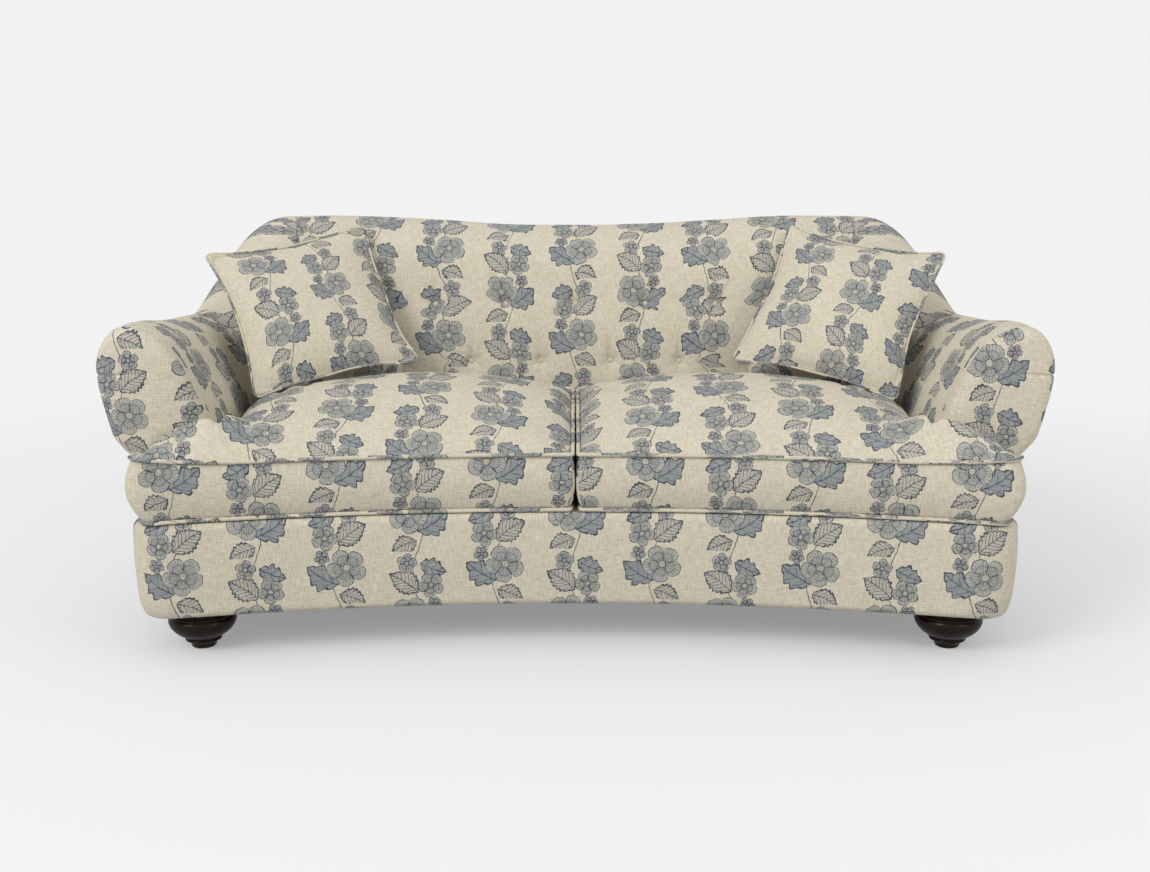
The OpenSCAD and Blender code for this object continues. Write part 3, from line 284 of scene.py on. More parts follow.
def finish_piece(obj, material, body, nodes=()):
    """Gives a piece its material, hides the imported parts that it replaces, and puts it on the body that it
    rides on.
    """
    if material is not None:
        obj.data.materials.clear()
        obj.data.materials.append(material)
    if nodes:
        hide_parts(*nodes)
    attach(obj, body)
    print(obj.name, len(obj.data.polygons), "faces")
    return obj


def along(points):
    """Distance along each row of points, in metres."""
    d = np.linalg.norm(np.diff(points, axis=0), axis=-1)
    return np.concatenate([[0], np.cumsum(d)]) * mm


def closed(loop):
    return np.concatenate([loop, loop[:1]])


def rumple(points, size, height, seed):
    """Low swells of stuffed cloth: one number for each point."""
    flat = np.asarray(points, float).reshape(-1, 3) / size
    swell = [noise.noise(Vector(p) + Vector((seed, 0.7 * seed, 0))) for p in flat]
    return height * np.array(swell).reshape(np.asarray(points).shape[:-1])


# %% [markdown]
# ## Shader maths as Python expressions
# The print and the weave need a good deal of arithmetic. One small class wraps a socket, so that an
# expression such as `1 - mask` adds its own Math node, and every other node comes from one method.

# %% The socket class
def operator(kind, swapped=False):
    """A method that adds a Math node of this kind."""
    if swapped:
        return lambda self, other: self.math(kind, other, self)
    return lambda self, *others: self.math(kind, self, *others)


class Wire:
    """A shader socket that works in Python expressions."""
    __add__, __radd__ = operator("ADD"), operator("ADD", True)
    __sub__, __rsub__ = operator("SUBTRACT"), operator("SUBTRACT", True)
    __mul__, __rmul__ = operator("MULTIPLY"), operator("MULTIPLY", True)
    __truediv__, __pow__, __mod__ = operator("DIVIDE"), operator("POWER"), operator("FLOORED_MODULO")
    __abs__, __floor__, sin, cos = operator("ABSOLUTE"), operator("FLOOR"), operator("SINE"), operator("COSINE")
    most = operator("MAXIMUM")

    def __init__(self, tree, socket=None):
        self.tree, self.socket = tree, socket

    def node(self, kind, inputs=None, out=0, **settings):
        """Adds a node with its inputs and settings, and returns one of its outputs."""
        made = assign(self.tree.nodes.new(kind), **settings)
        for name, value in (inputs or {}).items():
            if isinstance(value, Wire):
                value.into(made.inputs[name])
            else:
                made.inputs[name].default_value = value
        return Wire(self.tree, made.outputs[out])

    def into(self, socket):
        self.tree.links.new(self.socket, socket)

    def math(self, operation, *values):
        return self.node("ShaderNodeMath", dict(enumerate(values)), operation=operation)

    def ramp(self, low, high, to_low=0.0, to_high=1.0):
        """to_low at low, to_high at high, and straight and held between."""
        return self.node("ShaderNodeMapRange", {"Value": self, "From Min": low, "From Max": high,
                                                "To Min": to_low, "To Max": to_high})

    def mix(self, a, b):
        """Colour a where this is 0 and b where it is 1."""
        a, b = ((*c, 1) if isinstance(c, tuple) else c for c in (a, b))
        return self.node("ShaderNodeMix", {0: self, 6: a, 7: b}, out=2, data_type="RGBA")

    def tint(self, dark, light):
        """From a dark to a light colour, both as they look on a screen."""
        return self.mix(linear(*dark), linear(*light))

    def bump(self, strength, distance):
        return self.node("ShaderNodeBump", {"Strength": strength, "Distance": distance, "Height": self})

    def spot(self):
        """Place on the piece, in metres."""
        return self.node("ShaderNodeTexCoord", out=3)

    def speckle(self, scale, detail=2.0, out=0):
        """Noise at the places that this wire carries."""
        return self.node("ShaderNodeTexNoise", {"Vector": self, "Scale": scale, "Detail": detail}, out)

    def threads(self, scale, detail, move=(0, 0, 0)):
        """Noise that is drawn out along the axes."""
        stretched = self.node("ShaderNodeMapping", {"Vector": self, "Location": move, "Scale": scale})
        return stretched.speckle(1.0, detail)

    def shaken(self, noise_scale, detail, amount):
        """These places moved a little by noise."""
        shift = self.speckle(noise_scale, detail, out=1)
        return self.node("ShaderNodeVectorMath", {0: shift, 1: amount, 2: self}, operation="MULTIPLY_ADD")

    def parts(self):
        xyz = self.tree.nodes.new("ShaderNodeSeparateXYZ")
        self.into(xyz.inputs[0])
        return [Wire(self.tree, s) for s in xyz.outputs]


def linear(r, g, b):
    """A colour as it looks on a screen, 0 to 255, as the shader wants it."""
    def one(v):
        v /= 255
        return v / 12.92 if v <= 0.04045 else ((v + 0.055) / 1.055) ** 2.4
    return one(r), one(g), one(b)


def new_material(name, **fixed):
    """A material, its Principled shader with what is constant, and a Wire to build on."""
    material = bpy.data.materials.new(name)
    material.use_nodes = True
    shader = material.node_tree.nodes["Principled BSDF"]
    for socket, value in fixed.items():
        shader.inputs[socket.replace("_", " ")].default_value = value
    return material, shader, Wire(material.node_tree)


def feed(shader, **wires):
    """Links wires to the shader's inputs."""
    for socket, wire in wires.items():
        wire.into(shader.inputs[socket.replace("_", " ")])


# %% [markdown]
# ## The linen and its print
# The cover is a natural linen with slubs in both directions. Its print is a simple garden sprig, drawn
# here from plain formulas: five-petalled blossoms, lobed and toothed leaves and a wandering stem, in navy
# line over a blue-grey wash, in columns that are dropped by half a repeat and turned over in turn. All
# of it is counted in millimetres on the cloth's own coordinates, so it has one scale on every panel.

# %% The printed sprig
column, repeat = 171.0, 228.0


def blossom(at, pen, centre, radius, turn, rays):
    """Wash, ink and cover of a five-petalled blossom, drawn with a pen of this width."""
    x, y = at
    px, py = x - centre[0], y - centre[1]
    r = (px * px + py * py) ** 0.5
    angle = px.math("ARCTAN2", py, px)
    lobe = abs((angle * 2.5 + turn).cos())
    inside = (lobe ** 0.45 * 0.36 + 0.64) * radius - r
    cover = inside.ramp(-0.2, 0.3)
    rim = abs(inside + 0.4).ramp(pen, pen + 0.9, 1, 0)
    inner = abs((lobe ** 0.7 * 0.2 + 0.46) * radius - r).ramp(pen * 0.4, pen * 0.4 + 0.8, 0.7, 0)
    split = (lobe * r).ramp(pen + 0.4, pen * 2 + 1.2, 1, 0) * r.ramp(0.22 * radius, 0.3 * radius)
    veins = (angle * rays + r * 0.06).sin().ramp(0.2, 0.9, 0, 0.9) * r.ramp(0.3 * radius, radius, 1, 0.3)
    eye = abs(r - 0.19 * radius).ramp(0.7, 1.5, 1, 0)
    dots = (angle * 13).sin().ramp(0.3, 0.7) * abs(r - 0.3 * radius).ramp(0.9, 1.7, 1, 0)
    ink = rim.most(inner).most(split).most(veins).most(eye).most(dots) * cover
    wash = cover * r.ramp(0.16 * radius, 0.24 * radius, 0.1, 0.74) * r.ramp(0.6 * radius, radius, 1.0, 0.8)
    return wash, ink, cover


def leaf(at, pen, foot, turn, length, width, lobes, depth, tone, hatch):
    """Wash, ink and cover of a leaf with lobes or teeth."""
    flat = at[0].node("ShaderNodeCombineXYZ", {"X": at[0], "Y": at[1]})
    local = {"Vector": flat, "Location": (*foot, 0), "Rotation": (0, 0, turn)}
    x, y, _ = flat.node("ShaderNodeMapping", local, vector_type="TEXTURE").parts()
    t = x / length
    bent = abs(y - t * (1 - t) * 0.22 * length)
    shape = t * (1 - t) * (t * -1.7 + 4.4) * width
    edge = abs((t * (lobes * math.pi) + 0.6).sin()) * depth + (1 - depth)
    inside = shape * edge - bent
    cover = inside.ramp(-0.2, 0.3)
    rim = abs(inside + 0.4).ramp(pen, pen + 0.9, 1, 0)
    rib = bent.ramp(0.6, 1.5, 1, 0) * cover
    ribs = abs((x - bent * 0.9) % (length / lobes) - 0.5 * length / lobes).ramp(0.5, 1.4, 0.9, 0)
    fine = ((x - bent * 1.3) * 2.4).sin().ramp(0.2, 1.0, 0, hatch)
    stem = bent.ramp(0.5, 1.2, 1, 0) * t.ramp(-0.26, -0.22) * t.ramp(0.0, 0.03, 1, 0)
    ink = rim.most(rib.most(ribs).most(fine) * cover).most(stem)
    return cover * tone, ink * shape.ramp(-6, -2), cover


def sprig(uv):
    """Wash and ink of the whole print, at cloth coordinates in metres."""
    u, v, _ = uv.shaken(85.0, 1.0, (0.0055, 0.0055, 0)).parts()
    u, v = u * 1000, v * 1000
    number = (u / column).__floor__()
    odd = number % 2
    x = (u - (number + 0.5) * column) * (1 - odd * 2)
    y = (v + odd * (repeat / 2)) % repeat - repeat / 2
    at = (x, y)
    pen = uv.speckle(34.0).ramp(0.3, 0.7, 0.8, 2.5)
    line = abs(x - (y * (2 * math.pi / repeat)).sin() * 13).ramp(0.6, 1.4, 1, 0)
    wash, ink = line * 0.0, line
    # a leaf has its foot, turn, length, width, lobes, their depth, the wash's tone and the hatching's weight,
    # and a blossom its centre, radius, turn and number of fine rays
    layers = [
        leaf(at, pen, (-2, -70), 2.55, 76, 33, 3.5, 0.36, 1.0, 0.6),
        leaf(at, pen, (2, 22), 0.62, 72, 29, 7.5, 0.2, 0.42, 0.2),
        leaf(at, pen, (-6, 88), 3.55, 58, 25, 3.5, 0.36, 0.95, 0.55),
        leaf(at, pen, (2, -92), -0.4, 58, 23, 6.5, 0.2, 0.42, 0.2),
        blossom(at, pen, (-27, 36), 29, 0.4, 25),
        blossom(at, pen, (18, -32), 43, 1.1, 35),
        blossom(at, pen, (24, 88), 22, 2.0, 20),
        blossom(at, pen, (-34, -8), 17, 0.9, 15),
    ]
    for one_wash, one_ink, cover in layers:
        wash = wash * (1 - cover) + one_wash
        ink = (ink * (1 - cover)).most(one_ink)
    return wash, ink


# %% The linen itself
def linen(name, printed, pale, tan):
    """Slubby linen, with or without the print."""
    material, shader, wire = new_material(name, Roughness=0.86, Sheen_Weight=0.06, Sheen_Roughness=0.5,
                                          Specular_IOR_Level=0.2)
    uv = wire.node("ShaderNodeUVMap", uv_map="Cloth")
    weave = uv.threads((70, 900, 1), 3.0) + uv.threads((900, 70, 1), 3.0, (3, 9, 0))
    slubs = uv.threads((34, 560, 1), 2.0, (5, 2, 0)) + uv.threads((560, 38, 1), 2.0, (1, 7, 0))
    slub = (weave - 1.0) * 1.3 + (slubs - 1.0) * 1.4 + 0.5
    colour = (slub + (uv.speckle(9.0) - 0.5) * 0.25).ramp(0.1, 0.86).tint(tan, pale)
    if printed:
        wash, ink = sprig(uv)
        worn = slub.ramp(0.1, 0.9, 1.0, 0.74)
        mottled = uv.speckle(60.0).ramp(0.3, 0.7, 0.82, 1.0)
        colour = (wash * worn * mottled * 0.88).mix(colour, linear(118, 132, 141))
        colour = (ink * worn).mix(colour, linear(36, 46, 74))
    feed(shader, Base_Color=colour, Roughness=slub.ramp(0.0, 1.0, 0.93, 0.8), Normal=slub.bump(0.5, 0.0008))
    return material


printed_linen = linen("printed_linen", True, (219, 212, 194), (190, 180, 156))
# the plain linen is the printed linen's ground made about 2% darker: painted shade for the covered buttons sunk
# in their pits; the zip stitches and the imported piping slot share it
plain_linen_shade_darkened = linen("plain_linen_shade_darkened", False, (214, 207, 188), (186, 176, 152))
print("print nodes", len(printed_linen.node_tree.nodes))

# %% [markdown]
# ## The back
# The back is one padded cover over webbing and felt. Thirteen covered buttons are drawn into it with
# twine, and each makes a soft pit with short puckers. The section is swept along the bow, the pits are
# pressed in along the cloth's own normal, and the outside back is a panel of its own under the roll.

# %% Sweeping a cover along the line
under_roll = 2.6


def swept(stations, t, shift):
    """Skin points for stations and steps, moved outwards along their normals by shift(s, t)."""
    grid = []
    for s in stations:
        q = section(s, t)
        q = q + normals(q, t) * shift(s, t)[:, None]
        grid.append(place(s, q[:, 0], q[:, 1]))
    return np.array(grid)


def dense(low, high, spacing_of, count):
    """Steps from low to high, closer together where spacing_of is small."""
    fine = np.linspace(low, high, 2000)
    weight = np.array([1 / spacing_of(v) for v in fine])
    total = np.concatenate([[0], np.cumsum((weight[1:] + weight[:-1]) / 2)])
    return np.interp(np.linspace(0, total[-1], count), total, fine)


row_end = 3
buttons = [(i * button_pitch, button_row_high) for i in range(-row_end, row_end + 1)]
buttons += [((i + 0.5) * button_pitch, button_row_low) for i in range(-row_end, row_end)]
face_from, foot_step = 4.4, 8  # steps of the section where the face begins and where it ends


def pits(s, t):
    """How far the buttons pull the back's face in, at s and steps t."""
    z = section(s, t)[:, 1]
    pull = np.zeros(len(t))
    for s0, z0 in buttons:
        ds, dz = s - s0, (z - z0) / math.cos(math.radians(back_lean))
        if abs(ds) > 110:
            continue
        r, angle = np.hypot(ds, dz), np.arctan2(dz, ds)
        pull += (tuft_depth + 1) / (1 + (r / 17) ** 1.9) + 3.0 * bell(r, 11)
        pull += 1.3 * np.cos(6 * angle + s0) * bell(r - 19, 12)
        pull += 3.8 * bell(ds, 7) * bell(dz - 34, 30) + 2.2 * bell(ds, 6) * bell(dz + 28, 22)
        pull += 2.4 * bell(np.abs(ds) - 0.75 * dz, 6) * bell(dz - 40, 22)
    return -pull * (t > face_from)


def stuffed(s, t, large, small, seam):
    """Swells of the stuffing, and the seams under the roll and at the corner; nothing at the hems."""
    q = section(s, t)
    points = place(s, q[:, 0], q[:, 1])
    swell = rumple(points, *large) + rumple(points, *small)
    join = -1.1 * bell(abs(s) - back_half, 5)
    return (swell + seam + join) * smooth(t / 0.3) * smooth((foot_step - t) / 0.3)


def back_shift(s, t):
    """How far the back's cover stands out from its plain section."""
    return pits(s, t) + stuffed(s, t, (170, 2.2, 3), (60, 0.7, 8), -3.0 * bell(t - under_roll, 0.06))


def grid_cloth(grid, t):
    """Cloth coordinates of a swept grid: along the row, and up the section from its inner foot."""
    rise = np.array([along(row) for row in grid])
    origin = np.array([np.interp(foot_step, t, row) for row in rise])
    row_at = np.array([along(grid[:, j]) for j in range(grid.shape[1])]).T
    return row_at, np.abs(rise - origin[:, None])


# %% Back cover
back_columns, inner_rows, outer_rows = 300, 150, 44
back_s = np.linspace(-back_half, back_half, back_columns)
inner_t = dense(under_roll, foot_step, lambda t: 1.5 if t > 5.6 else 3.0, inner_rows)
outer_t = np.linspace(0, under_roll, outer_rows)
inside, outside = (swept(back_s, t, back_shift) for t in (inner_t, outer_t))
across, up = grid_cloth(inside, inner_t)
middle = np.array([np.interp(0, back_s, row) for row in across.T])
inside_cloth = np.stack([across - middle + half_column, up], -1)
outside_cloth = np.stack(np.broadcast_arrays(-across[:, :1], outside[..., 2] * mm), -1)
back = thicken(mesh_piece("back", [(inside, inside_cloth, False), (outside, outside_cloth, False)]))
finish_piece(back, printed_linen, "frame", ["back_pad"])

# %% [markdown]
# ## The back's buttons
# A covered button is a domed disc under linen, and all thirteen are the same. Geometry Nodes suit such
# repeats: one button is shaped in the tree, stood on each point and turned to face the way the cloth
# does there. The points sit at the bottom of the pits, so each button is half sunk.

# %% Trees of Geometry Nodes
def new_tree(name, inputs):
    """A Geometry Nodes tree with named inputs, and a Wire for each of them."""
    tree = bpy.data.node_groups.new(name, "GeometryNodeTree")
    tree.interface.new_socket("Geometry", in_out="INPUT", socket_type="NodeSocketGeometry")
    for label, kind in inputs.items():
        tree.interface.new_socket(label, in_out="INPUT", socket_type="NodeSocket" + kind)
    tree.interface.new_socket("Geometry", in_out="OUTPUT", socket_type="NodeSocketGeometry")
    start = tree.nodes.new("NodeGroupInput")
    return tree, {s.name: Wire(tree, s) for s in start.outputs if s.name}


def end_tree(tree, result, cover):
    """Makes the instances real, sets their material and closes the tree."""
    made = result.node("GeometryNodeRealizeInstances", {"Geometry": result})
    made = made.node("GeometryNodeSetMaterial", {"Geometry": made, "Material": cover})
    made = made.node("GeometryNodeSetShadeSmooth", {"Geometry": made})
    made.into(tree.nodes.new("NodeGroupOutput").inputs[0])
    return tree


def grown(name, mesh, tree, **values):
    """An object that has the tree's result as its own plain mesh."""
    obj = linked(name, mesh)
    modifier = modify(obj, "NODES", node_group=tree)
    for item in tree.interface.items_tree:
        if item.in_out == "INPUT" and item.name in values:
            modifier[item.identifier] = values[item.name]
    return bake_modifiers(obj)


# %% Grow the buttons
def button_tree(cover):
    """A domed disc on each point, turned to its aim."""
    tree, given = new_tree("covered_buttons", {"Width": "Float", "Height": "Float"})
    spots, width = given["Geometry"], given["Width"]
    dome = spots.node("GeometryNodeMeshUVSphere", {"Segments": 28, "Rings": 16, "Radius": width * 0.5})
    flat = spots.node("ShaderNodeCombineXYZ", {"X": 1.0, "Y": 1.0, "Z": given["Height"] / width * 2.0})
    dome = spots.node("GeometryNodeTransform", {"Geometry": dome, "Scale": flat})
    cloth = {"Geometry": dome, "Name": "Cloth", "Value": spots.node("GeometryNodeInputPosition")}
    dome = spots.node("GeometryNodeStoreNamedAttribute", cloth, data_type="FLOAT2", domain="CORNER")
    aim = spots.node("GeometryNodeInputNamedAttribute", {"Name": "aim"}, data_type="FLOAT_VECTOR")
    turned = spots.node("FunctionNodeAlignRotationToVector", {"Vector": aim}, axis="Z")
    placed = spots.node("GeometryNodeInstanceOnPoints", {"Points": spots, "Instance": dome, "Rotation": turned})
    return end_tree(tree, placed, cover)


def button_spots(out):
    """The middles of the buttons, at a height over the bottom of their pits."""
    spots = []
    for s, z in buttons:
        step = 6.0 if z == button_row_high else 7.0
        near = np.array([step - 0.02, step, step + 0.02])
        spots.append(swept([s], near, lambda s, t: back_shift(s, t) + out)[0, 1])
    return np.array(spots)


spots = button_spots(1.2)
aims = button_spots(2.2) - spots
button_mesh = bpy.data.meshes.new("button_spots")
button_mesh.from_pydata([tuple(p * mm) for p in spots], [], [])
aim_layer = button_mesh.attributes.new("aim", "FLOAT_VECTOR", "POINT")
aim_layer.data.foreach_set("vector", aims.astype(np.float32).ravel())
# the buttons' linen is a little darker than the cover's: painted shade in their pits
back_buttons = grown("back_buttons_covered", button_mesh, button_tree(plain_linen_shade_darkened),
                     Width=0.98 * button_d * mm, Height=0.42 * button_d * mm)
finish_piece(back_buttons, None, "frame", ["back_buttons"])

# %% [markdown]
# ## The arms
# Each arm is covered in one piece that runs over the roll and round to a padded front. A short dart
# takes up the fullness on the front, at the outer side of the roll. The rounded edge of the front
# follows the arm's own section, drawn in step by step, and the print runs upright on it.

# %% Arm cover
low_steps = np.linspace(0, 1, 50)
facing_low = float(np.interp(soft_foot, through(arm_skin, low_steps)[:, 1], low_steps))


def arm_shift(s, t):
    """Stuffing, three soft folds where the arm turns into the back, and the flare under the roll."""
    fold = 0.0
    for at, deep, wide in ((0.30, 2.2, 10), (0.47, 2.8, 9), (0.66, 2.0, 11)):
        middle = back_half + corner_l * (at + 0.03 * np.sin(3 * t + 9 * at))
        fold = fold - deep * bell(s - middle, wide) * smooth(t - 5.6) * smooth((foot_step - t) / 1.2)
    arm = armness(s)
    seam = -2.5 * bell(t - under_roll, 0.05) * (1 - arm)
    return stuffed(s, t, (150, 2.0, 5), (55, 0.7, 2), seam) + fold + 17 * bell(t - 1.35, 0.5) * arm


def inset(chain, depth, window=33):
    """The arm's outline drawn in by depth, along smoothed normals; its two feet stay level."""
    weight = np.hanning(window) / np.hanning(window).sum()
    inwards = np.pad(-normals(chain), ((window // 2, window // 2), (0, 0)), mode="edge")
    moved = chain + depth * np.stack([np.convolve(inwards[:, k], weight, mode="valid") for k in (0, 1)], -1)
    from_end = np.minimum(np.arange(len(chain)), np.arange(len(chain))[::-1])
    ends = smooth(from_end / 6.0)[:, None]
    level = chain + depth * np.array([[-1.0, 0.0]]) * np.sign(chain[:, :1] + 20)
    return moved * ends + level * (1 - ends)


def front_relief(points):
    """Dart and soft swells of the arm's front, added to points in mm."""
    x = points[..., 0] - arm_x
    dart = 3.6 * bell(points[..., 2] - 606 + 0.06 * (x - 60), 2.8) * smooth((x - 25) / 30)
    moved = points.copy()
    moved[..., 1] += dart + rumple(points, 120, 2.0, 4) * smooth((facing_back_y - points[..., 1]) / 40)
    moved[..., 0] -= 0.6 * dart * smooth((x - 110) / 30)
    return moved


def arm_front(chain, edge_rows=15, rung_points=25):
    """The rounded edge of the arm's front, and the flat inside it as rungs from side to side."""
    edge = []
    for a in np.linspace(0, math.pi / 2, edge_rows):
        last = inset(chain, facing_r * (1 - math.cos(a)))
        y = arm_front_y + facing_r * (1 - math.sin(a))
        edge.append(np.stack([arm_x + last[:, 0], np.full(len(last), y), last[:, 1]], -1))
    half = len(last) // 2 + 1
    share = ((1 - np.cos(np.linspace(0, math.pi, rung_points))) / 2)[None, :, None]
    rungs = last[:half, None] * (1 - share) + last[::-1][:half, None] * share
    near = np.sqrt(((rungs[:, :, None] - last[None, None, ::2]) ** 2).sum(-1)).min(-1)
    near[:, 0] = near[:, -1] = near[-1] = 0
    face = np.stack([arm_x + rungs[..., 0], arm_front_y - 3.5 * (1 - np.exp(-near / 25)), rungs[..., 1]], -1)
    return front_relief(np.array(edge)), front_relief(face)


def arm_piece(side):
    """One arm's cover, from the corner of the back to the padded front."""
    name, low_rows, rows, corner_columns, arm_columns = sides[side], 11, 185, 66, 46
    above = dense(facing_low, foot_step, lambda t: 0.4 if abs(t - 2.87) < 0.2 else 1.0 if t > 1.5 else 1.6, rows)
    t = np.concatenate([np.linspace(0, facing_low, low_rows + 1)[:-1], above])
    stations = np.concatenate([np.linspace(back_half, arm_start, corner_columns),
                               np.linspace(arm_start, arm_end, arm_columns)[1:]])
    skin = swept(stations, t, arm_shift)
    rim = skin[-1][low_rows:]
    edge, face = arm_front(np.stack([rim[:, 0] - arm_x, rim[:, 2]], -1))
    straight = np.array([rim, edge[0]])
    for grid in (skin, edge, face, straight):
        grid[..., 0] *= side
    row, rise = (cloth[::-1] for cloth in grid_cloth(skin[::-1], t))
    seam = (t >= under_roll).argmax()
    panels = [(skin[:, seam:], np.stack([row, rise], -1)[:, seam:], False),
              (skin[:, :seam + 1], np.stack([-row * side, skin[..., 2] * mm], -1)[:, :seam + 1], False),
              (straight, straight[..., [1, 2]] * [-mm, mm], False)]
    panels += [(grid, grid[..., [0, 2]] * mm + [0.035, 0.02], False) for grid in (edge, face)]
    arm = thicken(mesh_piece(f"arm_{name}_cover", panels, merge=0.2))
    finish_piece(arm, printed_linen, "frame", [f"arm_{name}", f"arm_facing_{name}"])


for side in sides:
    arm_piece(side)

# %% [markdown]
# ## The base
# One padded border runs round the front of the base and its rounded corners. Its lower edge is drawn in
# under the frame, more so at the corners. The print stays upright and runs on from the cushions above.

# %% Front border
def base_outline(t):
    """Outline of the front at an inset t, from the left side round to the right."""
    x = base_x - base_corner_r
    centre = np.array([x, front_v - bow_r + math.sqrt((bow_r + base_corner_r) ** 2 - x * x)])
    turn = math.pi / 2 + math.asin(x / (bow_r + base_corner_r))
    a = np.linspace(0, turn, 26)[:, None]
    corner = centre + (base_corner_r - t) * np.concatenate([np.cos(a), -np.sin(a)], 1)
    xs = np.linspace(corner[-1, 0], -corner[-1, 0], 260)[1:-1]
    front = np.stack([xs, front_v + t - bow(xs)], -1)
    side = np.stack([np.full(9, base_x - t), np.linspace(facing_back_y, centre[1], 10)[:-1]], -1)
    half = np.concatenate([side, corner])
    return np.concatenate([half, front, (half * [-1, 1])[::-1]])


def front_border():
    """Rows of the border from its lower inner edge over the front to its upper inner edge."""
    outline = base_outline(0)
    run, inner = along(outline), normals(outline)
    round_corner = smooth(1 - (base_x - np.abs(outline[:, 0]) - 30) / 110)
    corner = round_corner * smooth(1 - (outline[:, 1] - arm_front_y) / 150)
    lower_r, upper_r, lap, angles = 16, 15, 2, np.linspace(0, math.pi / 2, 10)
    low, climb = lower_r + 1.5 * corner, lower_r + 56 * corner
    top, level = soft_foot - 1, np.ones(len(outline))
    rows = [(low + lap, foot_h * level)]
    rows += [(low * (1 - math.sin(a)), foot_h + climb * (1 - math.cos(a))) for a in angles]
    rows += [(-2.5 * math.sin(math.pi * w) * level, lerp(foot_h + climb, top - upper_r, w))
             for w in np.linspace(0, 1, 18)[1:-1]]
    rows += [(upper_r * (1 - math.sin(a)) * level, (top - upper_r * (1 - math.cos(a))) * level)
             for a in angles[::-1]]
    rows.append((rows[-1][0] + lap, rows[-1][1]))
    grid, cloth = [], []
    for t, z in rows:
        points = np.concatenate([outline + inner * t[:, None], z[:, None]], 1)
        swell = rumple(points, 140, 1.8, 6) * smooth((z - foot_h - 20) / 20) * smooth((top - 20 - z) / 20)
        points[:, :2] -= inner * swell[:, None]
        grid.append(points)
        cloth.append(np.stack([run - run[len(run) // 2] + half_column, z * mm], -1))
    return closed(np.array(grid)), closed(np.array(cloth))


border = mesh_piece("front_border_cover", [(*front_border(), True)])
finish_piece(border, printed_linen, "frame", ["front_border"])

# %% [markdown]
# ## Seat cushions
# Each seat cushion is T-shaped: it fills its half of the seat and an ear of it passes in front of the
# arm. Two panels and a border are sewn along piping, and the foam and its wrap push the top into a
# crown. The mesh is laid out flat as it would be cut, and a short cloth simulation with air pressure
# settles it. The settled shape may leave the planned one by a few millimetres only.

# %% Plan of a seat cushion
edge_t = 2 * piping_r + 0.6
edge_low, deck_gap = deck_top + 7, 0.4
edge_high = edge_low + border_h
body_x = arm_x - arm_face_in - 4
ear_back_y = arm_front_y - 5
cushion_front_v, cushion_back_v = front_v - 3, back_v - back_face_in - zip_room
cushion_mid, body_columns, ear_rows = 0.5, 74, 17


def ease(a, b, first, count):
    """Positions from a to b that start and end closer together."""
    u = np.linspace(0, 1, count)
    return a + (b - a) * (u + first * np.sin(2 * math.pi * u) / (-2 * math.pi))


def round_off(x, y, x0, y0, sx, sy, r):
    """Rounds a square corner at (x0, y0) that opens towards (sx, sy)."""
    px, py = 1 - sx * (x - x0) / r, 1 - sy * (y - y0) / r
    near = (px > 0) & (py > 0) & (px <= 1.0001) & (py <= 1.0001)
    m = np.where(near, np.maximum(px, py) / np.maximum(np.hypot(px, py), 1e-9), 1)
    return np.where(near, x0 + sx * r * (1 - px * m), x), np.where(near, y0 + sy * r * (1 - py * m), y)


def cushion_plan(t):
    """Grid of plan points of the right cushion at an inset t: x, and v before the bow."""
    x0, x1, x2 = cushion_mid + t, body_x - t, ear_x - t
    v0, v2 = cushion_front_v + t, cushion_back_v - t
    xs = np.concatenate([ease(x0, x1, 0.5, body_columns), ease(x1, x2, 0.35, 17)[1:]])
    ear_v = [ear_back_y - t + bow(max(x, x1)) for x in xs]
    v = np.array([np.concatenate([ease(v0, v1, 0.35, ear_rows), ease(v1, v2, 0.4, 46)[1:]]) for v1 in ear_v])
    x = np.repeat(xs[:, None], v.shape[1], 1)
    for corner in ((x0, v0, 1, 1, 5), (x2, v0, -1, 1, 44), (x1, v2, -1, -1, 46), (x0, v2, 1, -1, 24),
                   (x2, ear_back_y - t + bow(x2), -1, -1, 24)):
        x, v = round_off(x, v, *corner)
    return x, v


def rise(d, reach):
    c = 1 - np.clip(d / reach, 0, 1)
    return 1 - c * c


def flank(d, steep, reach):
    """A side of the crown: steep beside the piping, then a slow swell to the middle."""
    return steep * rise(d, reach) + (1 - steep) * rise(d, (body_x - cushion_mid) / 2 - edge_t)


def crown_at(x, v, t):
    """Crown of the cushion's top, from 0 at its edges to 1."""
    v1 = ear_back_y - t + bow(np.maximum(x, body_x - t))
    dx = np.maximum(0, body_x - t - x)
    d = np.where(v >= v1, dx, np.hypot(dx, v1 - v))
    from_front = v - cushion_front_v - t
    front = rise(from_front, lerp(130, 300, np.clip(dx / 250, 0, 1)))
    corner = 0.37 * smooth(1 - np.abs(x - body_x - 22) / 92)
    ear = (0.64 + corner) * rise(from_front, 145) * rise(d, 15) * rise(ear_x - t - x, 90)
    side = np.minimum(flank(x - cushion_mid - t, 0.5, 42), flank(d, 0.47, 45))
    body = front * rise(cushion_back_v - t - v, 110) * side
    return lerp(body, ear, smooth((x - body_x + 230) / 210) * smooth(1 - (v - v1) / 165))


def edge_z(x, y):
    """Height of the upper seam, which climbs towards the back and a little at the ears."""
    v = y + bow(x)
    ear = smooth((x - ear_x) / 200 + 1) * (1 - smooth((v - ear_back_y - bow(ear_x)) / 60))
    end = smooth((x - ear_x + 60) / 40) * smooth((v - cushion_front_v - 30) / 70)
    away = np.hypot(x - body_x, v - ear_back_y - bow(body_x))
    notch = 19 * smooth(1 - away / 125) + 10 * smooth(1 - away / 70)
    climb = edge_lift * smooth((v - cushion_front_v - 20) / 400)
    return edge_high + climb + ear_lift * ear + notch - 20 * end


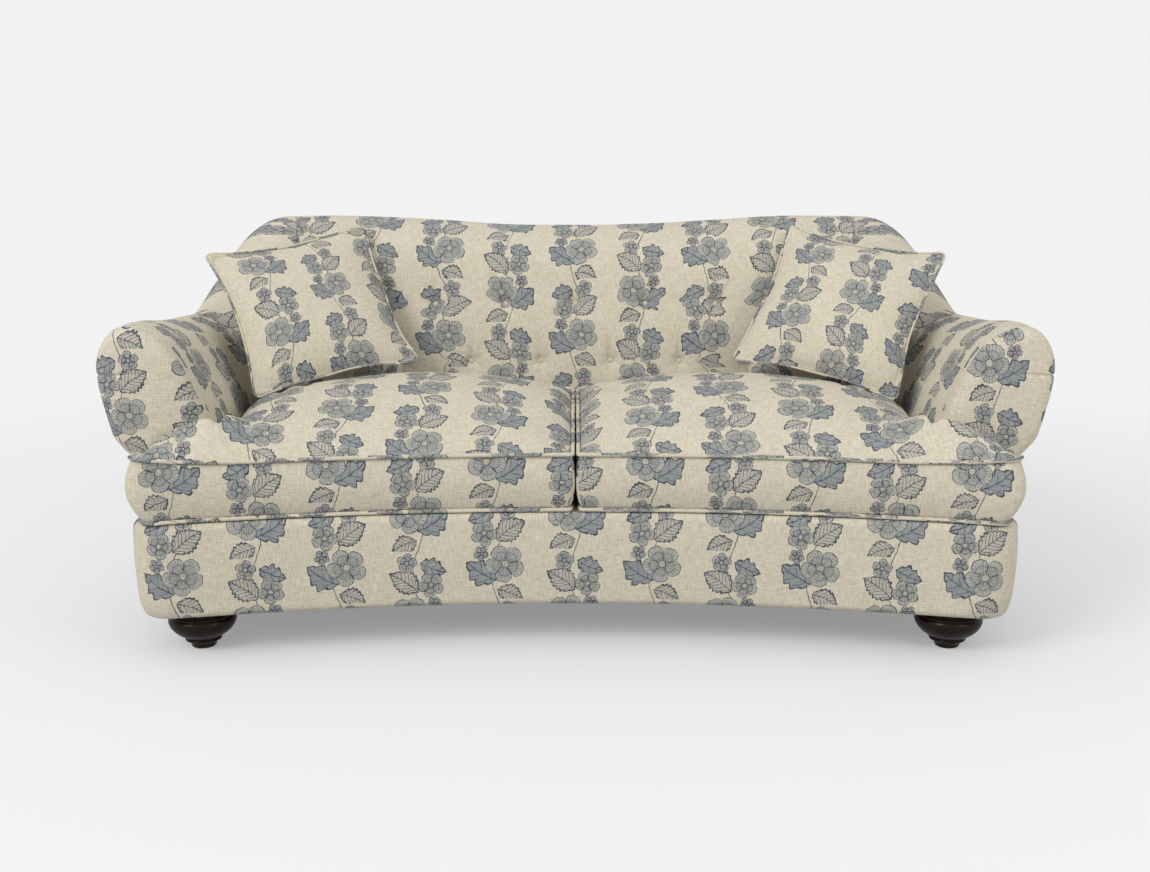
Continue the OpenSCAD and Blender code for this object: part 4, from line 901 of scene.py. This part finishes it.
def tucked(points):
    """The seams drawn in: the lower one at the ear's end, the middle and the front, both at the ear's end."""
    x, y, z = points[..., 0], points[..., 1], points[..., 2]
    v = y + bow(x)
    low = np.clip((edge_low + 70 - z) / 70, 0, 1) ** 1.8
    high = np.clip((z - edge_low - 75) / 50, 0, 1) ** 1.5
    moved = points.copy()
    moved[..., 0] -= (24 * low + 9 * high) * smooth(1 - (ear_x - x) / 110)
    moved[..., 0] += 5 * low ** 2 * smooth(1 - (x - cushion_mid) / 60) * smooth(1 - (v - cushion_front_v) / 70)
    moved[..., 1] += 9 * low * smooth(1 - (v - cushion_front_v) / 60)
    return moved


# %% Seat cushion cover
def cushion_cover(side):
    """The cover as a mesh, with the loops of points that the piping follows, and the way out from them."""
    t = edge_t - 1.5
    x, v = cushion_plan(t)
    crown = crown_at(x, v, t)
    y = v - bow(x)
    over = 11 * smooth(1 - (body_x - t - x) / 70) * smooth(crown / 0.35) * (x < body_x)
    over = over * smooth((v - ear_back_y - bow(body_x) + 50) / 40)
    top = tucked(np.stack([x + over, y, edge_z(x, y) + crown_h * crown], -1))
    low = tucked(np.stack([x, y, lerp(edge_low, deck_top + deck_gap, np.clip(3 * crown, 0, 1))], -1))
    w, h = x.shape
    rim = [(i, 0) for i in range(w)] + [(w - 1, j) for j in range(1, ear_rows)]
    rim += [(i, ear_rows - 1) for i in range(w - 2, body_columns - 2, -1)]
    rim += [(body_columns - 1, j) for j in range(ear_rows, h)]
    rim += [(i, h - 1) for i in range(body_columns - 2, -1, -1)] + [(0, j) for j in range(h - 2, 0, -1)]
    loop = np.array([[x[c], y[c]] for c in rim])
    d = np.roll(loop, -1, 0) - np.roll(loop, 1, 0)
    out = unit(np.stack([d[:, 1], -d[:, 0]], -1))
    high = edge_z(loop[:, 0], loop[:, 1])
    rear = smooth((loop[:, 1] + bow(loop[:, 0]) - cushion_back_v + 40) / 30)
    border = []
    for u in np.linspace(0, 1, 11):
        swell = (8.6 - 1.6 * rear) * math.sin(math.pi * u) ** 0.55
        ring = np.concatenate([loop + out * swell[:, None], lerp(edge_low, high, u)[:, None]], 1)
        border.append(tucked(closed(ring)))
    border = np.array(border)
    mirror = [side, 1, 1]
    cloth = np.stack([side * x * mm + half_column, (y + 900) * mm], -1)
    run = side * (loop[0, 0] * mm + along(closed(loop))) + half_column
    ear, body = np.s_[:, :ear_rows], np.s_[:body_columns, ear_rows - 1:]
    panels = [(sheet[part] * mirror, cloth[part], sheet is low) for sheet in (top, low) for part in (ear, body)]
    panels.append((border * mirror, np.stack(np.broadcast_arrays(run, border[..., 2] * mm), -1), False))
    cover = mesh_piece(f"seat_cushion_{sides[side]}_cover", panels, merge=0.1)
    rims = [np.concatenate([loop, z[:, None]], 1) for z in (high, np.full(len(loop), edge_low))]
    return cover, rims, out


def settle(obj, held, pressure, frames, cap, stiffness, cut=None):
    """Lets a cover settle as cloth under pressure; held marks what stays, cut is the cover's flat shape."""
    planned = points_of(obj)
    obj.vertex_groups.new(name="held").add(np.flatnonzero(held).tolist(), 1.0, "REPLACE")
    cloth = modify(obj, "CLOTH")
    if cut is not None:
        obj.shape_key_add(name="sewn")
        key = obj.shape_key_add(name="cut")
        key.data.foreach_set("co", np.asarray(cut, np.float32).ravel())
        cloth.settings.rest_shape_key = key
    assign(cloth.settings, quality=6, mass=0.3, time_scale=1.0, tension_stiffness=stiffness,
           compression_stiffness=stiffness, shear_stiffness=6.0, bending_stiffness=0.9, tension_damping=8.0,
           compression_damping=8.0, shear_damping=8.0, bending_damping=0.8, use_pressure=True,
           uniform_pressure_force=pressure, vertex_group_mass="held")
    cloth.settings.effector_weights.gravity = 0
    cloth.collision_settings.use_collision = False
    scene = bpy.context.scene
    for clock in (scene, cloth.point_cache):
        assign(clock, frame_start=1, frame_end=frames)
    for f in range(1, frames + 1):
        scene.frame_set(f)
    evaluated = obj.evaluated_get(bpy.context.evaluated_depsgraph_get())
    settled = np.array([v.co for v in evaluated.to_mesh().vertices])
    evaluated.to_mesh_clear()
    obj.modifiers.clear()
    obj.shape_key_clear()
    obj.vertex_groups.clear()
    scene.frame_set(1)
    move = settled - planned
    length = np.linalg.norm(move, axis=-1, keepdims=True)
    print(obj.name, "settled by up to", round(float(length.max()) * 1000, 1), "mm")
    return planned + move * np.minimum(1, cap / np.maximum(length, 1e-9))


def subdivided(obj):
    modify(obj, "SUBSURF", levels=1, render_levels=1, boundary_smooth="PRESERVE_CORNERS")
    return bake_modifiers(obj)


# %% [markdown]
# ## Piping
# Piping is a cord wrapped in a strip of the same linen cut on the bias, so the print crosses it at a
# slant. Each length is one round tube that closes on itself, just outside the seam that it covers.

# %% Piping tube
def piping(path, radius, ring=12, bias=0.7):
    """A closed round tube through points in mm, and its cloth coordinates."""
    path = path[np.linalg.norm(path - np.roll(path, 1, 0), axis=-1) > 0.5]
    ahead = unit(np.roll(path, -1, 0) - np.roll(path, 1, 0))
    level = np.ptp(path[:, 2]) < 0.3 * np.ptp(path[:, 0])
    side = unit(np.cross(ahead, [0, 0, 1.0] if level else [0, 1.0, 0]))
    up = np.cross(side, ahead)
    a = np.linspace(0, 2 * math.pi, ring + 1)
    swell = 1 + 0.05 * np.array([noise.noise(Vector(p) * 0.04) for p in path])
    spokes = np.cos(a)[None, :, None] * side[:, None] + np.sin(a)[None, :, None] * up[:, None]
    grid = closed(path[:, None] + radius * swell[:, None, None] * spokes)
    run, turn = bias * along(closed(path))[:, None], radius * mm * a
    return grid, np.stack([run + turn, run - turn], -1)


# %% Make both seat cushions
def seat_cushion(side):
    """One cushion's cover, settled, and its two lines of piping."""
    name, mirror = sides[side], [side, 1, 1]
    cover, rims, out = cushion_cover(side)
    points = points_of(cover) * 1000
    seams = kdtree.KDTree(2 * len(out))
    for i, p in enumerate(tucked(np.concatenate(rims))):
        seams.insert(Vector(p * mirror), i)
    seams.balance()
    seam_gap = np.array([seams.find(Vector(p))[2] for p in points])
    held = (seam_gap < 0.4) | (points[:, 2] < edge_low - 0.05)
    settled = settle(cover, held, pressure=3.0, frames=18, cap=0.010, stiffness=12.0) * 1000
    x, v = settled[:, 0] * side, settled[:, 1] + bow(settled[:, 0])
    above = np.clip((settled[:, 2] - edge_z(x, settled[:, 1])) / 25, 0, 1)
    settled[:, 2] += 2.0 * above * rumple(points, 120, 1.0, 11 + side)
    settled[:, 2] = np.maximum(settled[:, 2], deck_top + deck_gap)
    behind = v > ear_back_y + bow(ear_x)
    x = np.minimum(x, np.where(behind, body_x + 4.0 + 6.0 * above, ear_x + 2.0))
    settled[:, 0] = side * np.maximum(x, 0.4)
    settled[:, 1] -= np.maximum(0, v - cushion_back_v + 1.6)
    set_points(cover, settled * mm)
    body = f"seat_cushion_{name}"
    finish_piece(subdivided(cover), printed_linen, body, [f"seat_cover_{name}"])
    tubes = []
    for rim, lift in zip(rims, (1.8, -1.6)):
        line = tucked(rim + np.concatenate([3.6 * out, np.full((len(out), 1), lift)], 1))
        tubes.append((*piping(line * mirror, piping_r - 0.5), False))
    pipe = mesh_piece(f"seat_piping_{name}_cord", tubes, merge=0.02)
    finish_piece(pipe, printed_linen, body, [f"seat_piping_{name}"])


for side in sides:
    seat_cushion(side)

# %% [markdown]
# ## Scatter cushions
# A scatter cushion is two square panels sewn round four sides and filled. The panels are cut larger
# than the filled cushion is wide, and that spare cloth has to go somewhere: it gathers in small folds
# beside the seam. So the simulation starts from the filled shape, with the flat cut as its rest shape.

# %% Fill a square cushion
def pillow(half, draw, thick, n=58):
    """Front and rear panels of a filled cushion, and the panels' own square coordinates."""
    u = np.linspace(-1, 1, n)
    u = 0.7 * u + 0.3 * np.sin(u * math.pi / 2)
    gx, gz = np.meshgrid(u, u, indexing="ij")
    x = gx * (half - draw * (1 - gz ** 2))
    z = gz * (half - draw * (1 - gx ** 2))
    puff = (np.clip(1 - np.abs(gx) ** 2.6, 0, 1) * np.clip(1 - np.abs(gz) ** 2.6, 0, 1)) ** 0.55
    square = np.stack([gx, gz], -1)
    return np.stack([x, -thick / 2 * puff, z], -1), np.stack([x, thick / 2 * puff, z], -1), square


scatter_turn = (-10.7, -38.0, 20.5)
scatter_at = np.array([238.4 - arm_x, back_v - 229.8, edge_high + edge_lift + crown_h + 149.7])
roll, lean, yaw = (math.radians(a) for a in scatter_turn)
pose = np.array(Matrix.Rotation(yaw, 3, "Z") @ Matrix.Rotation(lean, 3, "X") @ Matrix.Rotation(roll, 3, "Y"))
cut_half = 224.0


def lean_back(obj, points, side):
    """Puts a cushion that was made at the middle of its own axes where it lies."""
    set_points(obj, leaned(points, side))
    if side > 0:  # mirrored, so its faces are turned outwards again
        obj.data.flip_normals()


def leaned(points, side):
    return (points @ pose.T + scatter_at) * [-side, 1, 1] * mm


def wavering(points, seed):
    """A soft outline: low waves in the cushion's own plane, and blunt corners."""
    corner = np.clip(np.abs(points[..., 0]) + np.abs(points[..., 2]) - 386, 0, None)
    moved = points.copy()
    for k, shift in ((0, 0), (2, 40)):
        wave = 9.0 * rumple(points * [1, 0, 1] + [shift, seed * 100, shift], 130, 1.0, seed)
        moved[..., k] += wave - np.sign(points[..., k]) * 0.009 * corner ** 2
    return moved


def scatter_cushion(side):
    """One cushion: its cover, settled, its piping and the case of its filling."""
    name = sides[side]
    front, rear, square = pillow(scatter_w / 2, scatter_draw + 6, scatter_t - 1)
    shift = [half_column + 0.06 * side, 0.05]
    cloth = square * cut_half * mm + shift
    cover = mesh_piece(f"scatter_cushion_{name}_cover", [(front, cloth, False), (rear, cloth, True)], merge=0.02)
    planned, uv = points_of(cover), np.empty(2 * len(cover.data.loops), np.float32)
    cover.data.uv_layers["Cloth"].data.foreach_get("uv", uv)
    flat = np.zeros((len(planned), 2))
    flat[loop_points(cover.data)] = uv.reshape(-1, 2) - shift
    cut = np.stack([flat[:, 0], np.sign(planned[:, 1]) * mm, flat[:, 1]], -1)
    rim = np.abs(planned[:, 1]) < 1e-6
    settled = settle(cover, rim, pressure=7.0, frames=24, cap=0.013, stiffness=10.0, cut=cut) * 1000
    y = settled[:, 1]
    settled[:, 1] += np.sign(y) * rumple(settled, 46, 2.0, 20 + side) * np.clip(np.abs(y) / 30, 0, 1)
    lean_back(cover, wavering(settled, 30 + side), side)
    body = f"scatter_cushion_{name}"
    finish_piece(subdivided(cover), printed_linen, body, [f"scatter_cover_{name}"])
    seam = np.concatenate([front[:-1, 0], front[-1, :-1], front[:0:-1, -1], front[0, :0:-1]])
    line = leaned(wavering(seam + unit(seam) * 1.4, 30 + side), side) * 1000
    tube = piping(line, scatter_piping_r - 0.7, 10)
    pipe = mesh_piece(f"scatter_piping_{name}_cord", [(*tube, False)], merge=0.02)
    finish_piece(pipe, printed_linen, body, [f"scatter_piping_{name}"])
    front, rear, square = pillow(scatter_w / 2 - 27, scatter_draw, scatter_t - 32, 30)
    panels = [(front, square * 0.2, False), (rear, square * 0.2, True)]
    case = mesh_piece(f"scatter_filling_{name}_case", panels, merge=0.02)
    lean_back(case, points_of(case) * 1000, side)
    finish_piece(case, cotton_case, body, [f"scatter_filling_{name}"])


# %% Cotton of the filling's case
def plain_cloth(name, light, dark, scale):
    """A close plain weave on the piece's own place."""
    material, shader, wire = new_material(name, Roughness=0.9, Sheen_Weight=0.08, Specular_IOR_Level=0.15)
    spot, fine = wire.spot(), 12 * scale
    thread = spot.threads((scale, scale, fine), 2.0) * 0.5 + spot.threads((fine, fine, scale), 2.0) * 0.5
    feed(shader, Base_Color=thread.ramp(0.3, 0.7).tint(dark, light), Normal=thread.bump(0.4, 0.0006))
    return material


cotton_case = plain_cloth("cotton_case", (240, 238, 230), (216, 213, 202), 70)
deck_cloth = plain_cloth("deck_cloth", (214, 206, 188), (186, 177, 154), 50)
for side in sides:
    scatter_cushion(side)

# %% [markdown]
# ## Inside and under the covers
# The seat deck and the foam cores are seen only when a cushion is lifted or taken apart, but they are
# soft too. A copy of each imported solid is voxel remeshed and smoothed, which rounds its edges as foam
# and felt are, and the dust cover is a thin sheet that is stapled under the frame and sags a little.

# %% Foam, felt and dust cover
def foam_finish():
    """Open foam: pores in a pale yellow that is cloudy."""
    material, shader, wire = new_material("open_foam", Roughness=0.95, Specular_IOR_Level=0.1)
    spot = wire.spot()
    pores = spot.node("ShaderNodeTexVoronoi", {"Vector": spot, "Scale": 700.0})
    tone = (spot.speckle(14.0, 3.0) * 0.6 + pores * 0.4).ramp(0.2, 0.8)
    feed(shader, Base_Color=tone.tint((214, 199, 152), (240, 230, 196)), Normal=pores.bump(0.5, 0.001))
    return material


def packed_copy(node, name, *steps):
    """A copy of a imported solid, welded where its faces meet."""
    return linked(name, welded(frame["nodes"][node].data.copy(), 1e-6, *steps))


def softened(node, name, material, body, voxel=0.012):
    """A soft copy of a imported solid, with rounded edges."""
    obj = packed_copy(node, name)
    modify(obj, "REMESH", mode="VOXEL", voxel_size=voxel)
    modify(obj, "SMOOTH", factor=0.5, iterations=6)
    modify(obj, "DISPLACE", strength=-0.001, mid_level=0.0)
    finish_piece(bake_modifiers(obj), material, body, [node])


open_foam = foam_finish()
softened("seat_deck", "seat_deck_felt", deck_cloth, "frame", 0.010)
for name in sides.values():
    softened(f"seat_core_{name}", f"seat_core_{name}_foam", open_foam, f"seat_cushion_{name}")


def dust_sheet():
    """The dust cover: columns of cloth from the front of the base to its back."""
    t, w = skin_t + 1.5, np.linspace(0, 1, 40)
    ahead = base_outline(t)
    ahead = ahead[np.argsort(ahead[:, 0], kind="stable")]
    behind = np.array([place(s, base_out - t, 0)[:2] for s in np.linspace(-arm_start, arm_start, 400)])
    reach_x = base_x - t - 0.5
    ahead = ahead[np.abs(ahead[:, 0]) <= reach_x]
    xs = reach_x * np.sin(np.linspace(-math.pi / 2, math.pi / 2, 120))
    y0, y1 = (np.interp(xs, line[:, 0], line[:, 1]) for line in (ahead, behind))
    y = y0[:, None] * (1 - w) + y1[:, None] * w
    sag = 3.0 * np.sin(math.pi * w)[None] * np.cos(xs / reach_x * math.pi / 2)[:, None] ** 0.5
    grid = np.stack([np.repeat(xs[:, None], len(w), 1), y, foot_h + 1.1 - sag], -1)
    obj = mesh_piece("dust_cover_cloth", [(grid, grid[..., :2] * mm, False)])
    if obj.data.polygons[0].normal.z < 0:
        obj.data.flip_normals()
    finish_piece(thicken(obj, 0.0008), dust_cloth, "frame", ["dust_cover"])


dust_cloth = plain_cloth("dust_cloth", (44, 44, 46), (24, 24, 26), 90)
dust_sheet()

# %% [markdown]
# ## Zips
# Each seat cushion opens along its rear border, so that the core can come out. A zip is a woven tape
# with two rows of small metal teeth, and a run of stitches along each edge. Teeth and stitches follow a
# line at a fixed pitch, so one tree of Geometry Nodes makes them both.

# %% Trees and metal of the zips
def row_tree(name, cover, shape, **inputs):
    """Small pieces of one shape along a line, at a pitch."""
    tree, given = new_tree(name, {"Pitch": "Float", "Size": "Vector"})
    line = given["Geometry"].node("GeometryNodeMeshToCurve", {"Mesh": given["Geometry"]})
    spots = line.node("GeometryNodeCurveToPoints", {"Curve": line, "Length": given["Pitch"]}, mode="LENGTH")
    turned = Wire(tree, spots.socket.node.outputs["Rotation"])
    one = line.node("GeometryNodeMesh" + shape, inputs)
    placed = {"Points": spots, "Instance": one, "Rotation": turned, "Scale": given["Size"]}
    return end_tree(tree, line.node("GeometryNodeInstanceOnPoints", placed), cover)


def metal(name, light, dark, rough):
    """Brushed and a little stained."""
    material, shader, wire = new_material(name, Metallic=1.0)
    spot = wire.spot()
    brushed, stain = spot.threads((60, 900, 900), 2.0), spot.speckle(25.0, 3.0)
    feed(shader, Base_Color=(brushed * 0.5 + stain * 0.5).ramp(0.3, 0.7).tint(dark, light),
         Roughness=(brushed * 0.4 + stain * 0.6).ramp(0.2, 0.8, rough - 0.08, rough + 0.12))
    return material


zip_metal = metal("zip_metal", (196, 172, 116), (150, 124, 74), 0.34)
tape_cloth = plain_cloth("zip_tape_cloth", (206, 199, 180), (178, 169, 146), 120)
tape_low, tape_high = (np.array(v) * 1000 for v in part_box("zip_tape_right"))
zip_z, tape_half = (tape_low[2] + tape_high[2]) / 2, (tape_high[2] - tape_low[2]) / 2
tape_r = bow_r - edge_t + bulge + 0.3
zip_c = cushion_back_v - bow_r


def on_arc(x, r, z):
    """Points of the zip's arc at x, at a radius and a height, in mm."""
    a = np.arcsin(np.asarray(x, float) / bow_r)
    return np.stack([r * np.sin(a), zip_c + r * np.cos(a), z + 0 * a], -1)


def line_mesh(name, rows):
    """A mesh of edges only, one chain for each row of points in mm."""
    points, edges = [], []
    for row in rows:
        edges += [(len(points) + i, len(points) + i + 1) for i in range(len(row) - 1)]
        points += [tuple(p * mm) for p in row]
    mesh = bpy.data.meshes.new(name)
    mesh.from_pydata(points, edges, [])
    return mesh


# %% Zip tapes, teeth and stitches
# half of the tape's section: how far it stands out, and the height from its middle line
half_ring = [(0, tape_half), (1.0, tape_half), (1.1, tape_half - 1), (1.1, 2.6), (0.7, 2.0)]
ring = [(0, -tape_half)] + half_ring + [(r, -dz) for r, dz in half_ring[:0:-1]] + [(0, -tape_half)]
xs = np.linspace(tape_low[0] + 1, tape_high[0] - 1, 60)
rows_of_teeth = [on_arc(xs[:-1], tape_r + 1.0, zip_z - 0.9), on_arc(xs[:-1] + 1.1, tape_r + 1.0, zip_z + 0.9)]
rows_of_stitches = [on_arc(xs, tape_r + 1.0, zip_z + dz) for dz in (tape_half - 4, 4 - tape_half)]
teeth_tree = row_tree("zip_teeth", zip_metal, "Cube", Size=(1, 1, 1))
stitch_tree = row_tree("zip_stitches", plain_linen_shade_darkened, "UVSphere", Segments=8, Rings=5, Radius=0.5)
trims = (("teeth", teeth_tree, rows_of_teeth, "zip_metal", {"Pitch": 0.0022, "Size": (0.0016, 0.0026, 0.0013)}),
         ("stitches", stitch_tree, rows_of_stitches, "piping_linen",
          {"Pitch": 0.0036, "Size": (0.0006, 0.0006, 0.0026)}))
for side, name in sides.items():
    body, mirror = f"seat_cushion_{name}", [side, 1, 1]
    grid = np.array([on_arc(xs, tape_r + r, zip_z + dz) for r, dz in ring]) * mirror
    ends = [np.array([grid[:6, i], grid[:-7:-1, i]]) for i in (0, -1)]
    panels = [(g, g[..., [0, 2]] * mm, False) for g in [grid] + ends]
    tape = mesh_piece(f"zip_tape_{name}_band", panels, merge=0.02)
    finish_piece(tape, tape_cloth, body, [f"zip_tape_{name}"])
    for part, tree, rows, slot, values in trims:
        mesh = line_mesh(f"zip_{part}_{name}_line", [row * mirror for row in rows])
        finish_piece(grown(f"zip_{part}_{name}", mesh, tree, **values), None, body)

# %% Zip sliders
for name in sides.values():
    slider = packed_copy(f"zip_slider_{name}", f"zip_slider_{name}_cast", lambda bm: bmesh.ops.dissolve_limit(
        bm, angle_limit=0.02, verts=bm.verts, edges=bm.edges))
    modify(slider, "BEVEL", width=0.0006, segments=3, limit_method="ANGLE")
    finish_piece(bake_modifiers(slider), zip_metal, f"zip_{name}", [f"zip_slider_{name}"])

# %% [markdown]
# ## Turned feet
# The bun feet are turned on a lathe, so one profile makes each of them: three fine ridges under the
# frame, a bulb that is widest high up, a bead and a small round toe. They are stained almost black and
# lacquered, with the grain upright, and the gloss comes from the clear coat rather than from the wood.

# %% Turn the feet
# radius and height by turns, from the middle of the top to the middle of the toe
foot_profile = [
    (0, 95.9), (66, 95.9), (70, 95.6), (72.6, 94.6), (73.8, 92.9), (73.9, 91.3), (72.9, 90.0),
    (72.2, 89.2), (73.2, 88.3), (74.6, 87.0), (74.9, 85.4), (74.1, 83.9), (72.8, 82.9), (72.5, 82.2),
    (73.5, 81.3), (75.2, 80.2), (75.8, 78.6), (75.0, 77.0), (73.8, 76.0), (73.5, 75.2), (74.9, 73.6),
    (77.0, 70.3), (78.4, 65.8), (78.2, 60.8), (76.4, 55.0), (72.9, 48.6), (68.0, 42.2), (62.0, 36.2),
    (55.4, 30.8), (49.6, 26.6), (45.8, 24.2), (44.9, 23.0), (45.8, 22.0), (47.7, 20.8), (48.4, 19.0),
    (47.7, 17.2), (45.9, 16.2), (43.6, 15.4), (39.8, 13.0), (37.0, 10.0), (35.9, 7.4), (35.8, 5.2),
    (35.0, 2.9), (32.6, 1.1), (28.8, 0.2), (24, 0.0), (0, 0.0)]


def turned_foot(name):
    """One foot: the profile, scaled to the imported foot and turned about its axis."""
    low, high = (np.array(v) * 1000 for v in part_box(name))
    profile = through(foot_profile, np.arange(0, len(foot_profile) - 0.99, 0.5))
    r = np.clip(profile[:, 0], 0, foot_d / 2) * (0.76 + 0.18 * smooth(profile[:, 1] / 45))
    z = np.clip(profile[:, 1], 0, foot_h - 0.1)
    r[0] = r[-1] = 0
    a = np.linspace(0, 2 * math.pi, 96 + 1)
    (x, y, _), r = (low + high) / 2, r[:, None]
    grid = np.stack([x + r * np.cos(a), y + r * np.sin(a), np.repeat(z[:, None], len(a), 1)], -1)
    foot = mesh_piece(f"{name}_turned", [(grid, grid[..., [0, 2]] * mm, False)], merge=0.01)
    finish_piece(foot, stained_wood, "frame", [name])


def wood(name, light, dark, grain, rough, coat=0.0, upright=False):
    """Wood with long grain; coat is a clear lacquer over it."""
    material, shader, wire = new_material(name, Coat_Weight=coat, Coat_Roughness=0.06, Specular_IOR_Level=0.15)
    scale = (grain, grain, grain / 14) if upright else (grain / 14, grain, grain)
    warped = wire.spot().shaken(6.0, 2.0, (0.012, 0.012, 0.012))
    pore = warped.threads(tuple(6 * v for v in scale), 2.0)
    tone = warped.threads(scale, 4.0) * 0.7 + pore * 0.3
    feed(shader, Base_Color=tone.ramp(0.3, 0.7).tint(dark, light),
         Roughness=tone.ramp(0.3, 0.7, rough + 0.06, rough - 0.06), Normal=pore.bump(0.25, 0.0004))
    return material


stained_wood = wood("stained_wood", (42, 24, 19), (22, 12, 9), 90, 0.34, 0.16, True)
for end in ("front", "rear"):
    for name in sides.values():
        turned_foot(f"foot_{end}_{name}")

# %% [markdown]
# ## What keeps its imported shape
# Rails, posts, dowels, springs, clips, plates and webbing are right as they were packed. They only get
# their finish: planed beech, fluted dowels, oiled spring wire, bright zinc and woven jute.

# %% Finishes of the frame's own pieces
def jute():
    """A coarse basket weave."""
    material, shader, wire = new_material("jute_webbing", Roughness=0.95, Specular_IOR_Level=0.1)
    spot = wire.spot()
    x, _, z = spot.parts()
    rib = ((x * 2200).sin() * (z * 2200).sin()).ramp(-0.6, 0.6)
    tone = (rib * 0.5 + spot.speckle(300.0, 3.0) * 0.5).ramp(0.2, 0.8)
    feed(shader, Base_Color=tone.tint((120, 92, 56), (176, 146, 98)), Normal=rib.bump(0.6, 0.001))
    return material


finishes = {"frame_wood": wood("planed_beech", (206, 172, 130), (172, 134, 94), 60, 0.6),
            "dowel_wood": wood("dowel_beech", (216, 184, 142), (184, 148, 104), 110, 0.65),
            "stained_wood": stained_wood, "spring_wire": metal("spring_wire", (112, 110, 108), (70, 66, 64), 0.4),
            "zinc_steel": metal("zinc_steel", (196, 200, 204), (156, 158, 160), 0.3), "webbing": jute(),
            "zip_metal": zip_metal, "zip_tape": tape_cloth, "foam": open_foam, "filling": cotton_case,
            "deck_cloth": deck_cloth, "dust_cloth": dust_cloth, "printed_linen": printed_linen,
            "piping_linen": plain_linen_shade_darkened}
for part in frame["record"]["subparts"]:
    for one in frame["nodes"][part["node"]].material_slots:
        one.material = finishes[part["material_slot"]]

# %% [markdown]
# ## Studio
# A pale floor fades into a white background, one large soft lamp hangs in front and above, and the
# camera stands where the photographer stood, a little above the arms and pitched down.

# %% Floor, lamps and camera
def camera_ray(tree):
    """1 where the camera looks at a surface itself, so that its tone there can be chosen."""
    return Wire(tree).node("ShaderNodeLightPath")


floor_mesh = bpy.data.meshes.new("floor")
floor_mesh.from_pydata([(-14, -14, 0), (14, -14, 0), (14, 14, 0), (-14, 14, 0)], [], [(0, 1, 2, 3)])
floor = linked("floor", floor_mesh)
floor_material, shader, wire = new_material("studio_floor", Roughness=0.7, Specular_IOR_Level=0.1)
feed(shader, Base_Color=camera_ray(wire.tree).mix((0.45, 0.45, 0.45), (0.84, 0.84, 0.845)))
away = wire.node("ShaderNodeVectorMath", {0: wire.spot()}, out=1, operation="LENGTH")
clear = wire.node("ShaderNodeBsdfTransparent")
solid, fade = Wire(wire.tree, shader.outputs[0]), away.ramp(1.0, 3.4, 0.3, 1.0)
mixed = wire.node("ShaderNodeMixShader", {0: fade, 1: solid, 2: clear})
mixed.into(wire.tree.nodes["Material Output"].inputs["Surface"])
floor_mesh.materials.append(floor_material)

world = bpy.data.worlds.new("studio")
bpy.context.scene.world = world
world.use_nodes = True
shown = camera_ray(world.node_tree).mix((0.67, 0.67, 0.68), (0.89, 0.89, 0.895))
shown.into(world.node_tree.nodes["Background"].inputs["Color"])


def soft_lamp(name, at, aim, size, power):
    """A round lamp of a size in metres and a power in watts."""
    lamp = assign(bpy.data.lights.new(name, "AREA"), shape="DISK", size=size, energy=power)
    turn = (Vector(aim) - Vector(at)).to_track_quat("-Z", "Y").to_euler()
    assign(linked(name, lamp), location=at, rotation_euler=turn)


soft_lamp("key", (-5.3, -5.4, 5.8), (0, 0, 0.5), 4.6, 385)
soft_lamp("fill", (2.8, -2.6, 2.2), (0, 0, 0.5), 2.2, 27)
soft_lamp("top", (0.0, 0.6, 3.8), (0, 0, 0.4), 2.6, 4)

photo_w, focal_px, pitch = 1150, 1350, 12.2  # of the photograph, in pixels, and the camera's tilt in degrees
camera_data = assign(bpy.data.cameras.new("camera"), sensor_width=36, lens=focal_px / photo_w * 36,
                     shift_x=-0.5 / photo_w)
camera = assign(linked("camera", camera_data), location=(0, (cushion_front_v - 2820) * mm, 1.087),
                rotation_euler=(math.radians(90 - pitch), 0, 0))
bpy.context.scene.camera = camera
bpy.context.scene.view_settings.view_transform = "Standard"
